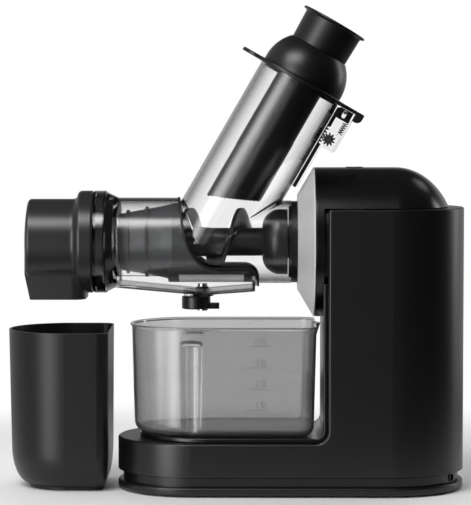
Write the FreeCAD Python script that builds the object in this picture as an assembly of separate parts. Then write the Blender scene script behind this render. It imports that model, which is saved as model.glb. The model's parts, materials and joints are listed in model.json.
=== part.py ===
import FreeCAD, Part
import math
import os

# A horizontal slow juicer. X runs along the drive axis towards the motor, Z is up, sizes are in millimetres.
# The origin lies on the table, midway between the pulp cup's outer side and the back of the column.

V = FreeCAD.Vector

# Clearances
run_gap = 0.4
seat_gap = 0.3
fit_gap = 0.06

# Base and column
axis_z = 215.0
base_left = -104.0
base_right = 197.5
half_depth = 65.0
shell_wall = 3.0
foot_height = 1.5
plate_thick = 7.0
plate_round = 2.0
groove_height = 9.0
groove_depth = 4.4
neck_wall = 6.0
line_depth = 1.0
line_height = 1.2
lip_thick = 5.0
base_top = 46.0
column_x = 78.0
column_top = 245.5
corner_radius = 11.0
edge_round = 2.2
rim_round = 1.5
hatch_margin = 30.0
plate_gap = 5.0
fascia_thick = 4.0
fascia_inset = 6.5
tray_nose = 12.5
fascia_round = 1.2

# Drive head on the front of the column
head_front = 67.0
dome_flat_end = 137.5
dome_length = 52.9
ring_gap = 3.0
ring_round = 1.2
cover_gap = 0.8
bezel_front = 52.5
bezel_front_radius = 41.5
bezel_lip = 2.5
bezel_wall = 4.5
seat_bore = 36.0
seat_wall = 3.5
seat_back = 6.0
seat_flange_gap = 2.0
front_hole = 26.0

# Button on the top cover
button_x = 102.0
button_radius = 7.5
button_proud = 0.5
button_depth = 5.3
button_round = 0.4
button_travel = 2.0
switch_height = 6.0
switch_drop = 3.0
switch_stem = 3.5
ear_thick = 1.5
switch_half = 9.0
switch_width = 15.0
lid_switch_drop = 17.0
lid_switch_height = 11.0
lid_switch_half = 6.0

# Feet, screws and board in the base
foot_radius = 10.0
foot_sink = 1.5
foot_spread = 38.0
screw_radius = 1.5
screw_head = 2.8
screw_head_height = 2.0
board_left = -60.0
board_length = 80.0
board_half = 38.0
board_z = 26.0
board_thick = 1.6
capacitors = [(18.0, 14.0, 8.0, 12.0), (40.0, 16.0, 6.0, 10.0)]
relays = [(10.0, -26.0, 24.0, 14.0, 10.0), (50.0, -24.0, 18.0, 32.0, 7.0)]
post_radius = 3.5
gland_radius = 3.8
gland_bore = 2.8
gland_angle = -30.0
vent_count = 6
vent_pitch = 9.0
vent_length = 44.0
vent_width = 3.5

# Gear train: motor pinion to cluster gear, cluster pinion to output gear
pressure_angle = math.radians(20)
gear_bearing_gap = 2.875
teeth_motor = 14
teeth_cluster = 62
shift_fast = 0.3
gear_head_room = 2.0
teeth_small = 12
teeth_output = 48
shift_slow = 0.4
backlash = 0.2
fast_width = 10.0
slow_width = 14.0
shaft_radius = 7.5
axle_radius = 5.0
bearing_radius = 17.5
bearing_width = 11.0
boss_wall = 2.0
front_plate_thick = 6.0
rear_plate_thick = 5.0
gear_plate_half = 52.0
pillar_drop = 7.0
pillar_radius = 4.0
pillar_y = 46.0
motor_radius = 36.0
motor_length = 50.0
rotor_radius = 22.0
rotor_length = 36.0
motor_shaft_radius = 4.0
fan_radius = 24.0
fan_width = 7.0
fan_blades = 8

# Drum, from the spout to the bezel
drum_radius = 38.5
drum_wall = 2.8
flange_radius = 44.5
flange_left = -124.2
flange_length = 11.7
taper_length = 9.5
neck_step = 7.9
mouth_wall = 3.1
neck_length = 7.0
web_bore = 22.6
web_thick = 3.5
rear_radius = 36.0
rear_bore = 33.3
rear_end = 47.0
seam_width = 3.6
seal_slack = 0.1
ring_flange = 35.5
ring_flange_thick = 5.2
ring_end = 70.0
ring_wall = 2.6
ring_web = 3.0
hub_radius = 14.5
lug_height = 1.0
chamber_twist = 30.0
lug_length = 5.0

# Seam between the juice housing and the feed housing, as seen from the side
seam_top = (-59.5, 301.0)
seam_upper = (-47.0, 226.0)
seam_foot = (-18.0, 192.2)
seam_flat_end = 6.0
seam_end_x = 17.6
seam_low_z = 160.0
tube_foot = [(-49.6, 248.8), (-40.4, 226.2), (-28.7, 211.4), (-13.7, 206.0), (-1.0, 211.5), (22.0, 235.6),
             (46.1, 256.6)]

# Trough, outlet and drip stop
trough_left = -104.0
trough_left_z = 176.0
trough_low_x = -30.2
trough_low_z = 169.4
trough_right_z = 172.8
trough_half = 26.0
trough_round = 8.0
trough_wall = 2.5
outlet_x = -40.5
outlet_bore = 4.0
outlet_wall = 2.0
boss_low_radius = 9.8
boss_top_radius = 4.8
boss_top_z = 176.0
boss_low_z = 167.8
pivot_radius = 2.5
pivot_head = 4.6
pivot_clip = 4.1
drip_x = -35.7
drip_radius = 12.5
drip_thick = 11.0
drip_lever = 14.7
drip_lever_half = 4.0
drip_lever_thick = 5.0

# Strainer
basket_front = -101.8
basket_front_radius = 24.4
basket_mid = -65.3
basket_mid_radius = 30.9
basket_full = -56.0
basket_radius = 33.4
basket_wall = 2.0
basket_collar = 22.3
rib_places = (-94.8, -78.3)
rib_width = 2.6
rib_height = 2.0
frame_width = 9.6
frame_radius = 35.2
screen_left = -50.0
screen_right = 6.0
screen_thick = 0.8
screen_arc = 84.0
screen_margin = 4.0
screen_rows = 5
screen_row_turn = 14.0
screen_columns = 15
slot_length = 2.1
slot_width = 1.4

# Auger
auger_front = -110.0
auger_nose = 8.0
core_front = -98.0
core_front_radius = 17.5
core_radius = 12.2
core_taper_end = -20.0
bell_start = 22.0
bell_end = 36.0
bell_radius = 28.4
bell_back = 44.0
flight_pitch = 44.0
flight_start = -107.0
flight_end = 14.0
flight_radius = 29.6
flight_gap = 0.8
flight_root = 7.0
flight_tip = 3.0
flight_steps = 24
hex_flat = 12.0
hex_depth = 28.0

# Pulp spout
spout_end = -185.0
spout_step = 7.2
spout_wall = 2.5
spout_ring_left = -138.0
spout_dome = 5.0
chute_left = -178.0
chute_right = -131.0
chute_inset = 0.7
chute_bottom = 166.0
chute_round = 6.0
gasket_thick = 0.6

# Feed tube; its own frame has n across the tube in the side view and s along it from the drive axis
feed_x = -25.2
feed_tilt = 30.0
tube_radius = 38.2
tube_bore = 35.0
tube_top = 159.5
lid_thick = 3.0
lid_disc = 45.0
lid_left = -57.8
lid_right = 62.7
lid_tab_half = 14.0
lid_lug_half = 9.0
lid_lug_left = 55.6
lid_lug_depth = 6.3
lid_lug_round = 4.5
lid_spigot = 2.0
spigot_wall = 2.2
dome_radius = 37.4
dome_centre = 166.0
dome_wall = 2.5
neck_s = 192.0
pusher_radius = 21.5
pusher_wall = 2.5
pusher_low = 34.0
pusher_high = 53.0
pusher_floor = 3.0
pusher_top = 220.0
head_low_radius = 25.9
head_high_radius = 26.6
pusher_rim = 29.3
rim_height = 1.9
tooth_count = 16
tooth_depth = 1.1

# Lid interlock beside the tube
case_right = 56.0
case_low = 121.0
case_high = 153.0
case_half = 8.5
case_wall = 1.6
ear_left = 43.0
ear_right = 51.5
channel_low = 80.0
channel_right = 43.6
channel_half = 4.6
slider_left = 38.9
slider_bar = 2.8
slider_low = 79.0
slider_head_low = 149.6
slider_right = 53.8
slider_half = 5.5
slider_travel = 3.0
pin_n = 47.2
pin_s = 156.8
pin_radius = 1.5
damper_module = 0.95
damper_teeth = 10
damper_shift = 0.45
damper_n = 46.2
damper_s = 129.5
damper_half = 2.5
damper_axle = 1.5
shelf_s = 137.7
shelf_thick = 2.1
shelf_left = 50.6
spring_n = 51.9
spring_radius = 1.7
spring_wire = 0.9
spring_turns = 5

# Jug and cup
jug_left = -91.9
jug_right = 68.5
jug_half = 54.0
jug_corner = 12.0
jug_height = 94.2
jug_draft = 2.4
jug_wall = 2.2
jug_floor = 3.0
jug_round = 8.0
jug_rim = 1.4
jug_rim_height = 2.2
spout_lip = 72.8
lip_radius = 13.0
lip_drop = 22.0
grip_x = -39.0
grip_radius = 10.0
grip_depth = 6.0
grip_top = 131.5
grip_round = 3.5
cup_left = -200.2
cup_right = -110.7
cup_half = 52.0
cup_y = 10.0
cup_corner = 10.0
cup_height = 138.2
cup_wall = 2.2
cup_draft = 2.0
cup_bowl = 34.0
cup_foot = 2.5
cup_foot_inset = 16.0

# Heights and places that follow from the sizes above
neck_bottom = foot_height + plate_thick
shell_bottom = neck_bottom + groove_height
head_radius = half_depth
end_left = base_left + half_depth
end_right = base_right - half_depth
floor_top = foot_height + shell_wall
tray_top = base_top + fascia_thick
seat_flange = head_radius - shell_wall - seat_flange_gap
button_top = axis_z + head_radius + button_proud
switch_low = button_top - button_depth - switch_drop - switch_height
module_slow = (switch_low - axis_z - gear_head_room) / (teeth_output / 2 - shift_slow + 1)
cluster_z = axis_z - module_slow * (teeth_small + teeth_output) / 2
fast_room = axis_z - cluster_z - bearing_radius - gear_bearing_gap
module_fast = fast_room / (teeth_cluster / 2 - shift_fast + 1)
motor_z = cluster_z - module_fast * (teeth_motor + teeth_cluster) / 2
plate_x = column_x + shell_wall
bearing_x = plate_x - 1.0
slow_x = bearing_x + bearing_width + boss_wall + 1.0
fast_x = slow_x + slow_width + 2.0
rear_plate_x = fast_x + fast_width + 3.0
motor_x = rear_plate_x + rear_plate_thick
drip_top = boss_low_z - seat_gap
lid_bottom = tube_top + seat_gap
lid_top = lid_bottom + lid_thick
seam_half = seam_width / 2
neck_radius = flange_radius - neck_step
neck_bore = neck_radius - mouth_wall
spout_radius = flange_radius - spout_step
chute_half = spout_radius - chute_inset
flange_right = flange_left + flange_length
drum_start = flange_right + taper_length
web_x = drum_start - taper_length / 2


def closed_wire(start, steps, place):
    """Closed outline. A step is an end point, or a pair of a point on the way and an end point for an arc."""
    edges = []
    here = start
    for step in steps:
        if isinstance(step[0], tuple):
            through, end = step
            edges.append(Part.Arc(place(*here), place(*through), place(*end)).toShape())
        else:
            end = step
            edges.append(Part.LineSegment(place(*here), place(*end)).toShape())
        here = end
    if here != start:
        edges.append(Part.LineSegment(place(*here), place(*start)).toShape())
    return Part.Wire(edges)


def side_prism(start, steps, y0, y1):
    """Outline in the side view carried across from y0 to y1."""
    face = Part.Face(closed_wire(start, steps, lambda x, z: V(x, y0, z)))
    return face.extrude(V(0, y1 - y0, 0))


def plan_prism(start, steps, z0, z1):
    """Outline seen from above carried up from z0 to z1."""
    face = Part.Face(closed_wire(start, steps, lambda x, y: V(x, y, z0)))
    return face.extrude(V(0, 0, z1 - z0))


def lathe(start, steps):
    """Profile of x and radius turned about the drive axis."""
    face = Part.Face(closed_wire(start, steps, lambda x, r: V(x, 0, axis_z + r)))
    return face.revolve(V(0, 0, axis_z), V(1, 0, 0), 360)


def turned(start, steps):
    """Profile of radius and height turned about the upright axis of the tube's own frame."""
    face = Part.Face(closed_wire(start, steps, lambda r, s: V(r, 0, s)))
    return face.revolve(V(0, 0, 0), V(0, 0, 1), 360)


def rod_x(radius, x0, x1, z=axis_z, y=0.0):
    return Part.makeCylinder(radius, x1 - x0, V(x0, y, z), V(1, 0, 0))


def rod_y(radius, y0, y1, x, z):
    return Part.makeCylinder(radius, y1 - y0, V(x, y0, z), V(0, 1, 0))


def rod_z(radius, z0, z1, x=0.0, y=0.0):
    return Part.makeCylinder(radius, z1 - z0, V(x, y, z0))


def block(x0, x1, y0, y1, z0, z1):
    return Part.makeBox(x1 - x0, y1 - y0, z1 - z0, V(x0, y0, z0))


def edges_at(shape, test):
    """Edges whose middle point passes the test."""
    return [edge for edge in shape.Edges if test(edge.CenterOfMass)]


def near(a, b):
    return abs(a - b) < 0.01


def tilt(shape):
    """From the tube's own upright frame to its place on the drum."""
    placed = shape.copy()
    placed.rotate(V(0, 0, 0), V(0, 1, 0), feed_tilt)
    placed.translate(V(feed_x, 0, axis_z))
    return placed


def stadium(inset, z0, z1, nose=0.0):
    """Upright block with the base's round-ended plan, inset all round, its left end moved in by the nose too."""
    r = half_depth - inset
    left = end_left + nose
    steps = [
        (end_right, -r),
        ((end_right + r, 0), (end_right, r)),
        (left, r),
        ((left - r, 0), (left, -r)),
    ]
    return plan_prism((left, -r), steps, z0, z1)


def chair(inset):
    """Block with the side profile of base and column, an L with a rounded inner corner."""
    far = half_depth
    radius = corner_radius + inset
    cx = column_x - corner_radius
    cz = base_top + corner_radius
    slant = radius * math.sqrt(0.5)
    steps = [
        (base_right + far, shell_bottom),
        (base_right + far, column_top - inset),
        (column_x + inset, column_top - inset),
        (column_x + inset, cz),
        ((cx + slant, cz - slant), (cx, base_top - inset)),
        (base_left - far, base_top - inset),
    ]
    return side_prism((base_left - far, shell_bottom), steps, -2 * half_depth, 2 * half_depth)


def screw_places():
    inset = groove_depth + neck_wall / 2
    y = half_depth - inset
    middle = (end_left + end_right) / 2
    return [(x, side * y) for x in (end_left, middle, end_right) for side in (-1, 1)]


def foot_places():
    return [(x, side * foot_spread) for x in (end_left, end_right) for side in (-1, 1)]


def board_posts():
    inset = 2 * post_radius
    xs = (board_left + inset, board_left + board_length - inset)
    return [(x, side * (board_half - inset)) for x in xs for side in (-1, 1)]


def make_base_plate():
    plate = stadium(0, foot_height, neck_bottom)
    rims = edges_at(plate, lambda c: near(c.z, foot_height) or near(c.z, neck_bottom))
    plate = plate.makeFillet(plate_round, rims)
    plate = plate.fuse(stadium(groove_depth, neck_bottom, shell_bottom))
    for z in (neck_bottom, shell_bottom - line_height):
        line = stadium(groove_depth - 1, z, z + line_height)
        plate = plate.cut(line.cut(stadium(groove_depth + line_depth, z, z + line_height)))
    plate = plate.cut(stadium(groove_depth + neck_wall, floor_top, shell_bottom + 1))
    for x, y in board_posts():
        plate = plate.fuse(rod_z(post_radius, foot_height + 1, board_z, x, y))
    for x, y in foot_places():
        plate = plate.cut(rod_z(foot_radius + seat_gap, foot_height - 1, foot_height + foot_sink, x, y))
    for x, y in screw_places():
        plate = plate.cut(rod_z(screw_radius + fit_gap, foot_height - 1, shell_bottom + 1, x, y))
        plate = plate.cut(rod_z(screw_head + fit_gap, foot_height - 1, foot_height + screw_head_height, x, y))
    for i in range(vent_count):
        x = end_right + (i - (vent_count - 1) / 2) * vent_pitch
        x0 = x - vent_width / 2
        slot = block(x0, x0 + vent_width, -vent_length / 2, vent_length / 2, 0, floor_top + 1)
        plate = plate.cut(slot)
    return plate.cut(gland_rod(gland_radius + fit_gap, 0))


def gland_rod(radius, proud):
    """Rod square to the groove's wall at the cord exit, ending proud of the wall."""
    turn = math.radians(gland_angle)
    way = V(math.cos(turn), math.sin(turn), 0)
    wall = half_depth - groove_depth
    start = V(end_right, 0, neck_bottom + groove_height / 2) + way * (wall - neck_wall - 1)
    return Part.makeCylinder(radius, neck_wall + 1 + proud, start, way)


def make_cord_gland():
    body = gland_rod(gland_radius, 1.0)
    return body.cut(gland_rod(gland_bore, 2.0))


def make_rubber_feet():
    return [rod_z(foot_radius, 0, foot_height + foot_sink, x, y) for x, y in foot_places()]


def make_base_screws():
    screws = []
    for x, y in screw_places():
        head = rod_z(screw_head, foot_height + 0.2, foot_height + screw_head_height, x, y)
        stem = rod_z(screw_radius, foot_height + screw_head_height, shell_bottom + lip_thick - 1, x, y)
        screws.append(head.fuse(stem).removeSplitter())
    return screws


def make_main_housing():
    outside = stadium(0, shell_bottom, column_top)
    outside = outside.makeFillet(rim_round, edges_at(outside, lambda c: near(c.z, column_top)))
    shell = chair(0).common(outside)
    cx = column_x - corner_radius
    seat_edges = edges_at(
        shell,
        lambda c: (near(c.z, base_top) and (near(abs(c.y), half_depth) or c.x < end_left))
        or (near(abs(c.y), half_depth) and cx < c.x < column_x + 0.01 and c.z > base_top),
    )
    shell = shell.makeFillet(edge_round, seat_edges)
    cavity = chair(shell_wall).common(stadium(shell_wall, shell_bottom + lip_thick, column_top))
    mouth = stadium(groove_depth + neck_wall, shell_bottom - 1, shell_bottom + lip_thick + 1)
    shell = shell.cut(cavity).cut(mouth)
    shell = shell.cut(rod_x(front_hole, column_x - 1, plate_x + 1))
    gear_room = module_slow * teeth_output / 2
    hatch_low = column_top - shell_wall - 1
    hatch_end = base_right - hatch_margin
    hatch = block(plate_x + plate_gap, hatch_end, -gear_room, gear_room, hatch_low, column_top + 1)
    shell = shell.cut(hatch)
    for x, y in screw_places():
        shell = shell.cut(rod_z(screw_radius + fit_gap, shell_bottom - 1, shell_bottom + lip_thick + 1, x, y))
    return shell


def make_front_fascia():
    lining = chair(-fascia_thick).cut(chair(0)).common(stadium(fascia_inset, base_top, axis_z, tray_nose))
    lining = lining.common(block(base_left, column_x, -half_depth, half_depth, base_top, axis_z))
    lining = lining.cut(rod_x(head_radius + seat_gap, head_front, column_x + 1))
    side = half_depth - fascia_inset
    rim = edges_at(
        lining,
        lambda c: (near(c.z, tray_top) and (near(abs(c.y), side) or c.x < end_left))
        or (near(abs(c.y), side) and c.x < column_x - 1 and c.z > tray_top),
    )
    return lining.makeFillet(fascia_round, rim)


def dome_profile(inset):
    """Side of the top cover: a straight cylinder that closes in a quarter ellipse at the back."""
    length = dome_length - inset
    radius = head_radius - inset
    ellipse = Part.Ellipse(
        V(dome_flat_end + length, 0, axis_z),
        V(dome_flat_end, 0, axis_z + radius),
        V(dome_flat_end, 0, axis_z),
    ) if length > radius else Part.Ellipse(
        V(dome_flat_end, 0, axis_z + radius),
        V(dome_flat_end + length, 0, axis_z),
        V(dome_flat_end, 0, axis_z),
    )
    front = head_front - inset
    corner = V(front, 0, axis_z + radius)
    top = V(dome_flat_end, 0, axis_z + radius)
    tip = V(dome_flat_end + length, 0, axis_z)
    arc = Part.Arc(ellipse, ellipse.parameter(top), ellipse.parameter(tip)).toShape()
    if arc.BoundBox.ZMin < axis_z - 1 or arc.BoundBox.XMin < dome_flat_end - 1:
        arc = Part.Arc(ellipse, ellipse.parameter(tip), ellipse.parameter(top)).toShape()
    foot = V(front, 0, axis_z)
    lines = [
        Part.LineSegment(foot, corner).toShape(),
        Part.LineSegment(corner, top).toShape(),
        arc,
        Part.LineSegment(tip, foot).toShape(),
    ]
    face = Part.Face(Part.Wire(Part.sortEdges(lines)[0]))
    return face.revolve(V(0, 0, axis_z), V(1, 0, 0), 360)


def make_top_cover():
    solid = dome_profile(0)
    front = edges_at(solid, lambda c: near(c.x, head_front) and near(c.z, axis_z))
    shell = solid.makeFillet(ring_round, front).cut(dome_profile(shell_wall))
    far = 2 * half_depth
    ring_back = column_x - ring_gap
    above = block(ring_back - 1, base_right, -far, far, column_top + cover_gap, axis_z + far)
    ring = block(head_front - 1, ring_back, -far, far, axis_z - far, axis_z + far)
    shell = shell.common(above.fuse(ring))
    back = [e for e in shell.Edges if near(e.CenterOfMass.x, ring_back) and near(e.BoundBox.YMax, head_radius)]
    shell = shell.makeFillet(ring_round / 2, back)
    return shell.cut(rod_z(button_radius + run_gap, switch_low, axis_z + far, button_x))


def make_power_button():
    body = rod_z(button_radius, button_top - button_depth, button_top + 1, button_x)
    crown = rod_x(head_radius + button_proud, head_front, base_right)
    crown.rotate(V(0, 0, axis_z), V(1, 0, 0), 180)
    body = body.common(crown)
    rim = edges_at(body, lambda c: c.z > button_top - button_depth / 2 and near(c.x, button_x))
    return body.makeFillet(button_round, rim)


def make_power_switch():
    body = block(button_x - switch_half, button_x + switch_half, -switch_width, switch_width,
                 switch_low, switch_low + switch_height)
    inner = head_radius - shell_wall
    ear_half = switch_half / 2
    for side in (-1, 1):
        y0 = side * switch_width
        y1 = y0 - side * ear_thick
        ear = block(button_x - ear_half, button_x + ear_half, min(y0, y1), max(y0, y1), switch_low, axis_z + inner)
        body = body.fuse(ear)
    stem_top = button_top - button_depth - button_travel - seat_gap
    body = body.fuse(rod_z(switch_stem, switch_low, stem_top, button_x))
    return body.common(rod_x(inner - seat_gap, head_front, base_right))


def make_front_bezel():
    rise = (head_radius - bezel_front_radius) / (head_front - bezel_front)
    inner_x = bezel_front + bezel_lip
    inner_r = bezel_front_radius + rise * bezel_lip - bezel_wall
    steps = [
        (bezel_front, bezel_front_radius),
        (head_front - 0.8, head_radius - 0.3),
        (head_front - 0.3, head_radius),
        (head_front, head_radius),
        (head_front, head_radius - bezel_wall),
        (inner_x, inner_r),
        (inner_x, seat_bore + seat_gap),
    ]
    return lathe((bezel_front, seat_bore + seat_gap), steps)


def make_bayonet_seat():
    front = bezel_front + bezel_lip
    back = column_x
    web = back - seat_back
    lug_x = ring_end - 2 * lug_length
    groove = seat_bore + lug_height + run_gap
    steps = [
        (front, seat_bore + seat_wall),
        (web + 2, seat_bore + seat_wall),
        (web + 2, seat_flange),
        (back, seat_flange),
        (back, shaft_radius + 5.5),
        (web, shaft_radius + 5.5),
        (web, groove),
        (lug_x - run_gap, groove),
        (lug_x - run_gap, seat_bore),
    ]
    seat = lathe((front, seat_bore), steps)
    for i in range(3):
        key = block(front - 1, lug_x, -7, 7, axis_z + seat_bore - 1, axis_z + groove)
        key.rotate(V(0, 0, axis_z), V(1, 0, 0), 120 * i + chamber_twist)
        seat = seat.cut(key)
    return seat


def make_shaft_seal():
    web = column_x - seat_back
    outer = shaft_radius + 5.5 - 0.05
    ring = rod_x(outer, web + 0.5, column_x - 0.5)
    return ring.cut(rod_x(shaft_radius + fit_gap, web, column_x))


def make_lid_switch():
    """Contact block behind the bezel that a magnet in the slider's end works."""
    low = axis_z + head_radius - lid_switch_drop
    back = column_x - seat_back + 2
    return block(head_front + 1, back, -lid_switch_half, lid_switch_half, low, low + lid_switch_height)


def involute(angle):
    return math.tan(angle) - angle


def gear_face(module, teeth, shift, slack, turn, x):
    """Involute spur gear outline square to X at the origin, with a tooth at the turn angle from Z."""
    pitch = module * teeth / 2
    base = pitch * math.cos(pressure_angle)
    root = pitch - module * (1.25 - shift)
    tip = pitch + module * (1 + shift)
    thick = module * (math.pi / 2 + 2 * shift * math.tan(pressure_angle)) - slack / 2
    low = max(base, root)
    rise = [low + (tip - low) * step / 3 for step in range(4)]
    half = [thick / 2 / pitch + involute(pressure_angle) - involute(math.acos(base / r)) for r in rise]
    flank = list(zip(rise, half))
    if root < base:
        flank.insert(0, (root, half[0]))
    points = []
    for k in range(teeth):
        middle = turn + 2 * math.pi * k / teeth
        for r, wide in flank:
            points.append((r, middle - wide))
        for r, wide in reversed(flank):
            points.append((r, middle + wide))
    corners = [V(x, r * math.sin(a), r * math.cos(a)) for r, a in points]
    return Part.Face(Part.makePolygon(corners + corners[:1]))


def spur_gear(module, teeth, shift, turn, x, width, z):
    gear = gear_face(module, teeth, shift, backlash, turn, x).extrude(V(width, 0, 0))
    gear.translate(V(0, 0, z))
    return gear


def make_output_gear():
    gear = spur_gear(module_slow, teeth_output, -shift_slow, math.pi, slow_x, slow_width, axis_z)
    hub = 2.2 * shaft_radius
    rim = module_slow * (teeth_output / 2 - 4)
    recess = rod_x(rim, slow_x - 1, slow_x + 4).cut(rod_x(hub, slow_x - 1, slow_x + 4))
    gear = gear.cut(recess)
    return gear.cut(rod_x(shaft_radius + fit_gap, slow_x - 1, slow_x + slow_width + 1))


def make_cluster_gear():
    half_space = math.pi / teeth_small
    reach = fast_x - slow_x + 1
    pinion = spur_gear(module_slow, teeth_small, shift_slow, half_space, slow_x - 0.5, reach, cluster_z)
    wheel = spur_gear(module_fast, teeth_cluster, -shift_fast, math.pi, fast_x, fast_width, cluster_z)
    gear = wheel.fuse(pinion)
    rim = module_fast * (teeth_cluster / 2 - 5)
    hub = module_slow * teeth_small / 2 + 5
    recess = rod_x(rim, fast_x + fast_width - 4, fast_x + fast_width + 1, cluster_z)
    recess = recess.cut(rod_x(hub, fast_x, fast_x + fast_width + 1, cluster_z))
    gear = gear.cut(recess)
    return gear.cut(rod_x(axle_radius + fit_gap, slow_x - 2, rear_plate_x, cluster_z))


def make_cluster_axle():
    return rod_x(axle_radius, plate_x + 1, motor_x - 1, cluster_z)


def make_motor_pinion():
    half_space = math.pi / teeth_motor
    gear = spur_gear(module_fast, teeth_motor, shift_fast, half_space, fast_x - 0.5, fast_width + 1, motor_z)
    return gear.cut(rod_x(motor_shaft_radius + fit_gap, fast_x - 1, fast_x + fast_width + 1, motor_z))


def make_motor_can():
    end = motor_x + motor_length
    can = rod_x(motor_radius, motor_x, end, motor_z)
    can = can.makeFillet(3.0, edges_at(can, lambda c: near(c.x, end)))
    room = rod_x(rotor_radius + 1, motor_x + 5, end - 5, motor_z)
    return can.cut(room).cut(rod_x(motor_shaft_radius + fit_gap, motor_x - 1, end + 1, motor_z))


def make_rotor():
    shaft = rod_x(motor_shaft_radius, fast_x - 2, motor_x + motor_length + fan_width + 3, motor_z)
    middle = motor_x + motor_length / 2
    core = rod_x(rotor_radius, middle - rotor_length / 2, middle + rotor_length / 2, motor_z)
    return shaft.fuse(core)


def make_cooling_fan():
    x0 = motor_x + motor_length + 2
    fan = rod_x(2 * motor_shaft_radius, x0, x0 + fan_width, motor_z)
    for i in range(fan_blades):
        blade = block(x0, x0 + fan_width, -0.8, 0.8, motor_z + 1.5 * motor_shaft_radius, motor_z + fan_radius)
        blade.rotate(V(x0 + fan_width / 2, 0, motor_z), V(0, 0, 1), 25)
        blade.rotate(V(0, 0, motor_z), V(1, 0, 0), 360 * i / fan_blades)
        fan = fan.fuse(blade)
    fan = fan.common(rod_x(fan_radius, x0, x0 + fan_width, motor_z))
    return fan.cut(rod_x(motor_shaft_radius + fit_gap, x0 - 1, x0 + fan_width + 1, motor_z))


def pillar_places():
    upper = (axis_z + cluster_z) / 2 - pillar_drop
    lower = cluster_z - (upper - cluster_z) - 2 * pillar_drop
    return [(side * pillar_y, z) for z in (upper, lower) for side in (-1, 1)]


def gear_plate(x0, x1):
    low = motor_z - motor_radius
    high = axis_z + bearing_radius + boss_wall
    plate = block(x0, x1, -gear_plate_half, gear_plate_half, low, high)
    corners = edges_at(plate, lambda c: near(abs(c.y), gear_plate_half) and (near(c.z, low) or near(c.z, high)))
    plate = plate.makeFillet(8.0, corners)
    return plate.cut(rod_x(axle_radius + fit_gap, x0 - 1, x1 + 1, cluster_z))


def make_gearbox_front_plate():
    plate = gear_plate(plate_x, plate_x + front_plate_thick)
    boss_end = bearing_x + bearing_width
    plate = plate.fuse(rod_x(bearing_radius + boss_wall, column_x + 0.5, boss_end))
    plate = plate.cut(rod_x(bearing_radius + fit_gap, bearing_x, boss_end + 1))
    return plate.cut(rod_x(bearing_radius - 3, column_x, bearing_x + 1))


def make_gearbox_rear_plate():
    plate = gear_plate(rear_plate_x, motor_x)
    boss_x = motor_x - bearing_width
    plate = plate.fuse(rod_x(bearing_radius + boss_wall, boss_x, motor_x))
    plate = plate.cut(rod_x(bearing_radius + fit_gap, boss_x - 1, motor_x - 1.5))
    plate = plate.cut(rod_x(shaft_radius + 2, boss_x, motor_x + 1))
    return plate.cut(rod_x(motor_shaft_radius + 4, rear_plate_x - 1, motor_x + 1, motor_z))


def make_gearbox_pillars():
    x0 = plate_x + front_plate_thick
    return [rod_x(pillar_radius, x0, rear_plate_x, z, y) for y, z in pillar_places()]


def bearing(x0):
    """Ball bearing as two rings with a race between them, bridged by its cage."""
    race = (bearing_radius + shaft_radius) / 2
    ring = rod_x(bearing_radius, x0, x0 + bearing_width)
    ring = ring.cut(rod_x(shaft_radius + fit_gap, x0 - 1, x0 + bearing_width + 1))
    for side in (x0, x0 + bearing_width):
        step = 1.5 if side == x0 else -1.5
        lo, hi = sorted((side, side + step))
        ring = ring.cut(rod_x(race + 2, lo, hi).cut(rod_x(race - 2, lo, hi)))
    return ring


def make_bearing_front():
    return bearing(bearing_x)


def make_bearing_rear():
    return bearing(motor_x - 1.5 - bearing_width)


def hexagon(flat, x0, x1):
    corner = flat / math.sqrt(3)
    turns = [math.radians(60 * i) for i in range(7)]
    points = [V(x0, corner * math.sin(a), axis_z + corner * math.cos(a)) for a in turns]
    return Part.Face(Part.makePolygon(points)).extrude(V(x1 - x0, 0, 0))


def make_drive_shaft():
    hub_end = rear_end + ring_flange_thick + 1
    stem = rod_x(shaft_radius, hub_end + 1, motor_x - 1)
    return stem.fuse(hexagon(hex_flat, hub_end - hex_depth + 1, hub_end + 2))


def make_auger():
    hub_end = rear_end + ring_flange_thick + 1
    bend = (bell_start + (bell_end - bell_start) * 0.22, core_radius + (bell_radius - core_radius) * 0.62)
    steps = [
        (auger_front, auger_nose - 1.5),
        (auger_front + 1.5, auger_nose),
        (core_front - 4, auger_nose),
        (core_front, core_front_radius),
        (core_taper_end, core_radius),
        (bell_start, core_radius),
        (bend, (bell_end, bell_radius)),
        (bell_back, bell_radius),
        (bell_back, hub_radius),
        (hub_end, hub_radius),
        (hub_end, 0),
    ]
    core = lathe((auger_front, 0), steps)
    inner = basket_wall + flight_gap
    limits = [
        (flight_start, basket_front_radius - inner),
        (basket_front, basket_front_radius - inner),
        (basket_mid, basket_mid_radius - inner),
        (basket_full, flight_radius),
        (flight_end, flight_radius),
        (flight_end, 0),
    ]
    envelope = lathe((flight_start, 0), limits)
    first = basket_front + basket_wall + flight_gap
    envelope = envelope.cut(rod_x(half_depth, flight_start - 1, first))
    auger = core.fuse(flight_screw().common(envelope))
    return auger.cut(hexagon(hex_flat + 2 * run_gap, hub_end - hex_depth, hub_end + 1))


def flight_screw():
    """Screw flight, ruled between tapered sections that step round the drive axis, longer than needed."""
    root = core_radius / 2
    tip = flight_radius + 2
    rim = [(root, -flight_root / 2), (tip, -flight_tip / 2), (tip, flight_tip / 2), (root, flight_root / 2)]
    count = round((flight_end - flight_start) / flight_pitch * flight_steps)
    sections = []
    for i in range(count + 1):
        a = 2 * math.pi * i / flight_steps
        x = flight_start + flight_pitch * i / flight_steps
        corners = [V(x + dx, -r * math.sin(a), axis_z - r * math.cos(a)) for r, dx in rim]
        sections.append(Part.makePolygon(corners + corners[:1]))
    return Part.makeLoft(sections, True, True)


def make_auger_seal():
    steps = [
        (rear_end - 2, hub_radius + seat_gap),
        (rear_end - 2, rear_bore - 2),
        (rear_end, rear_bore - 2),
        (rear_end, hub_radius + seat_gap),
    ]
    return lathe(steps[0], steps[1:])


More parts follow.
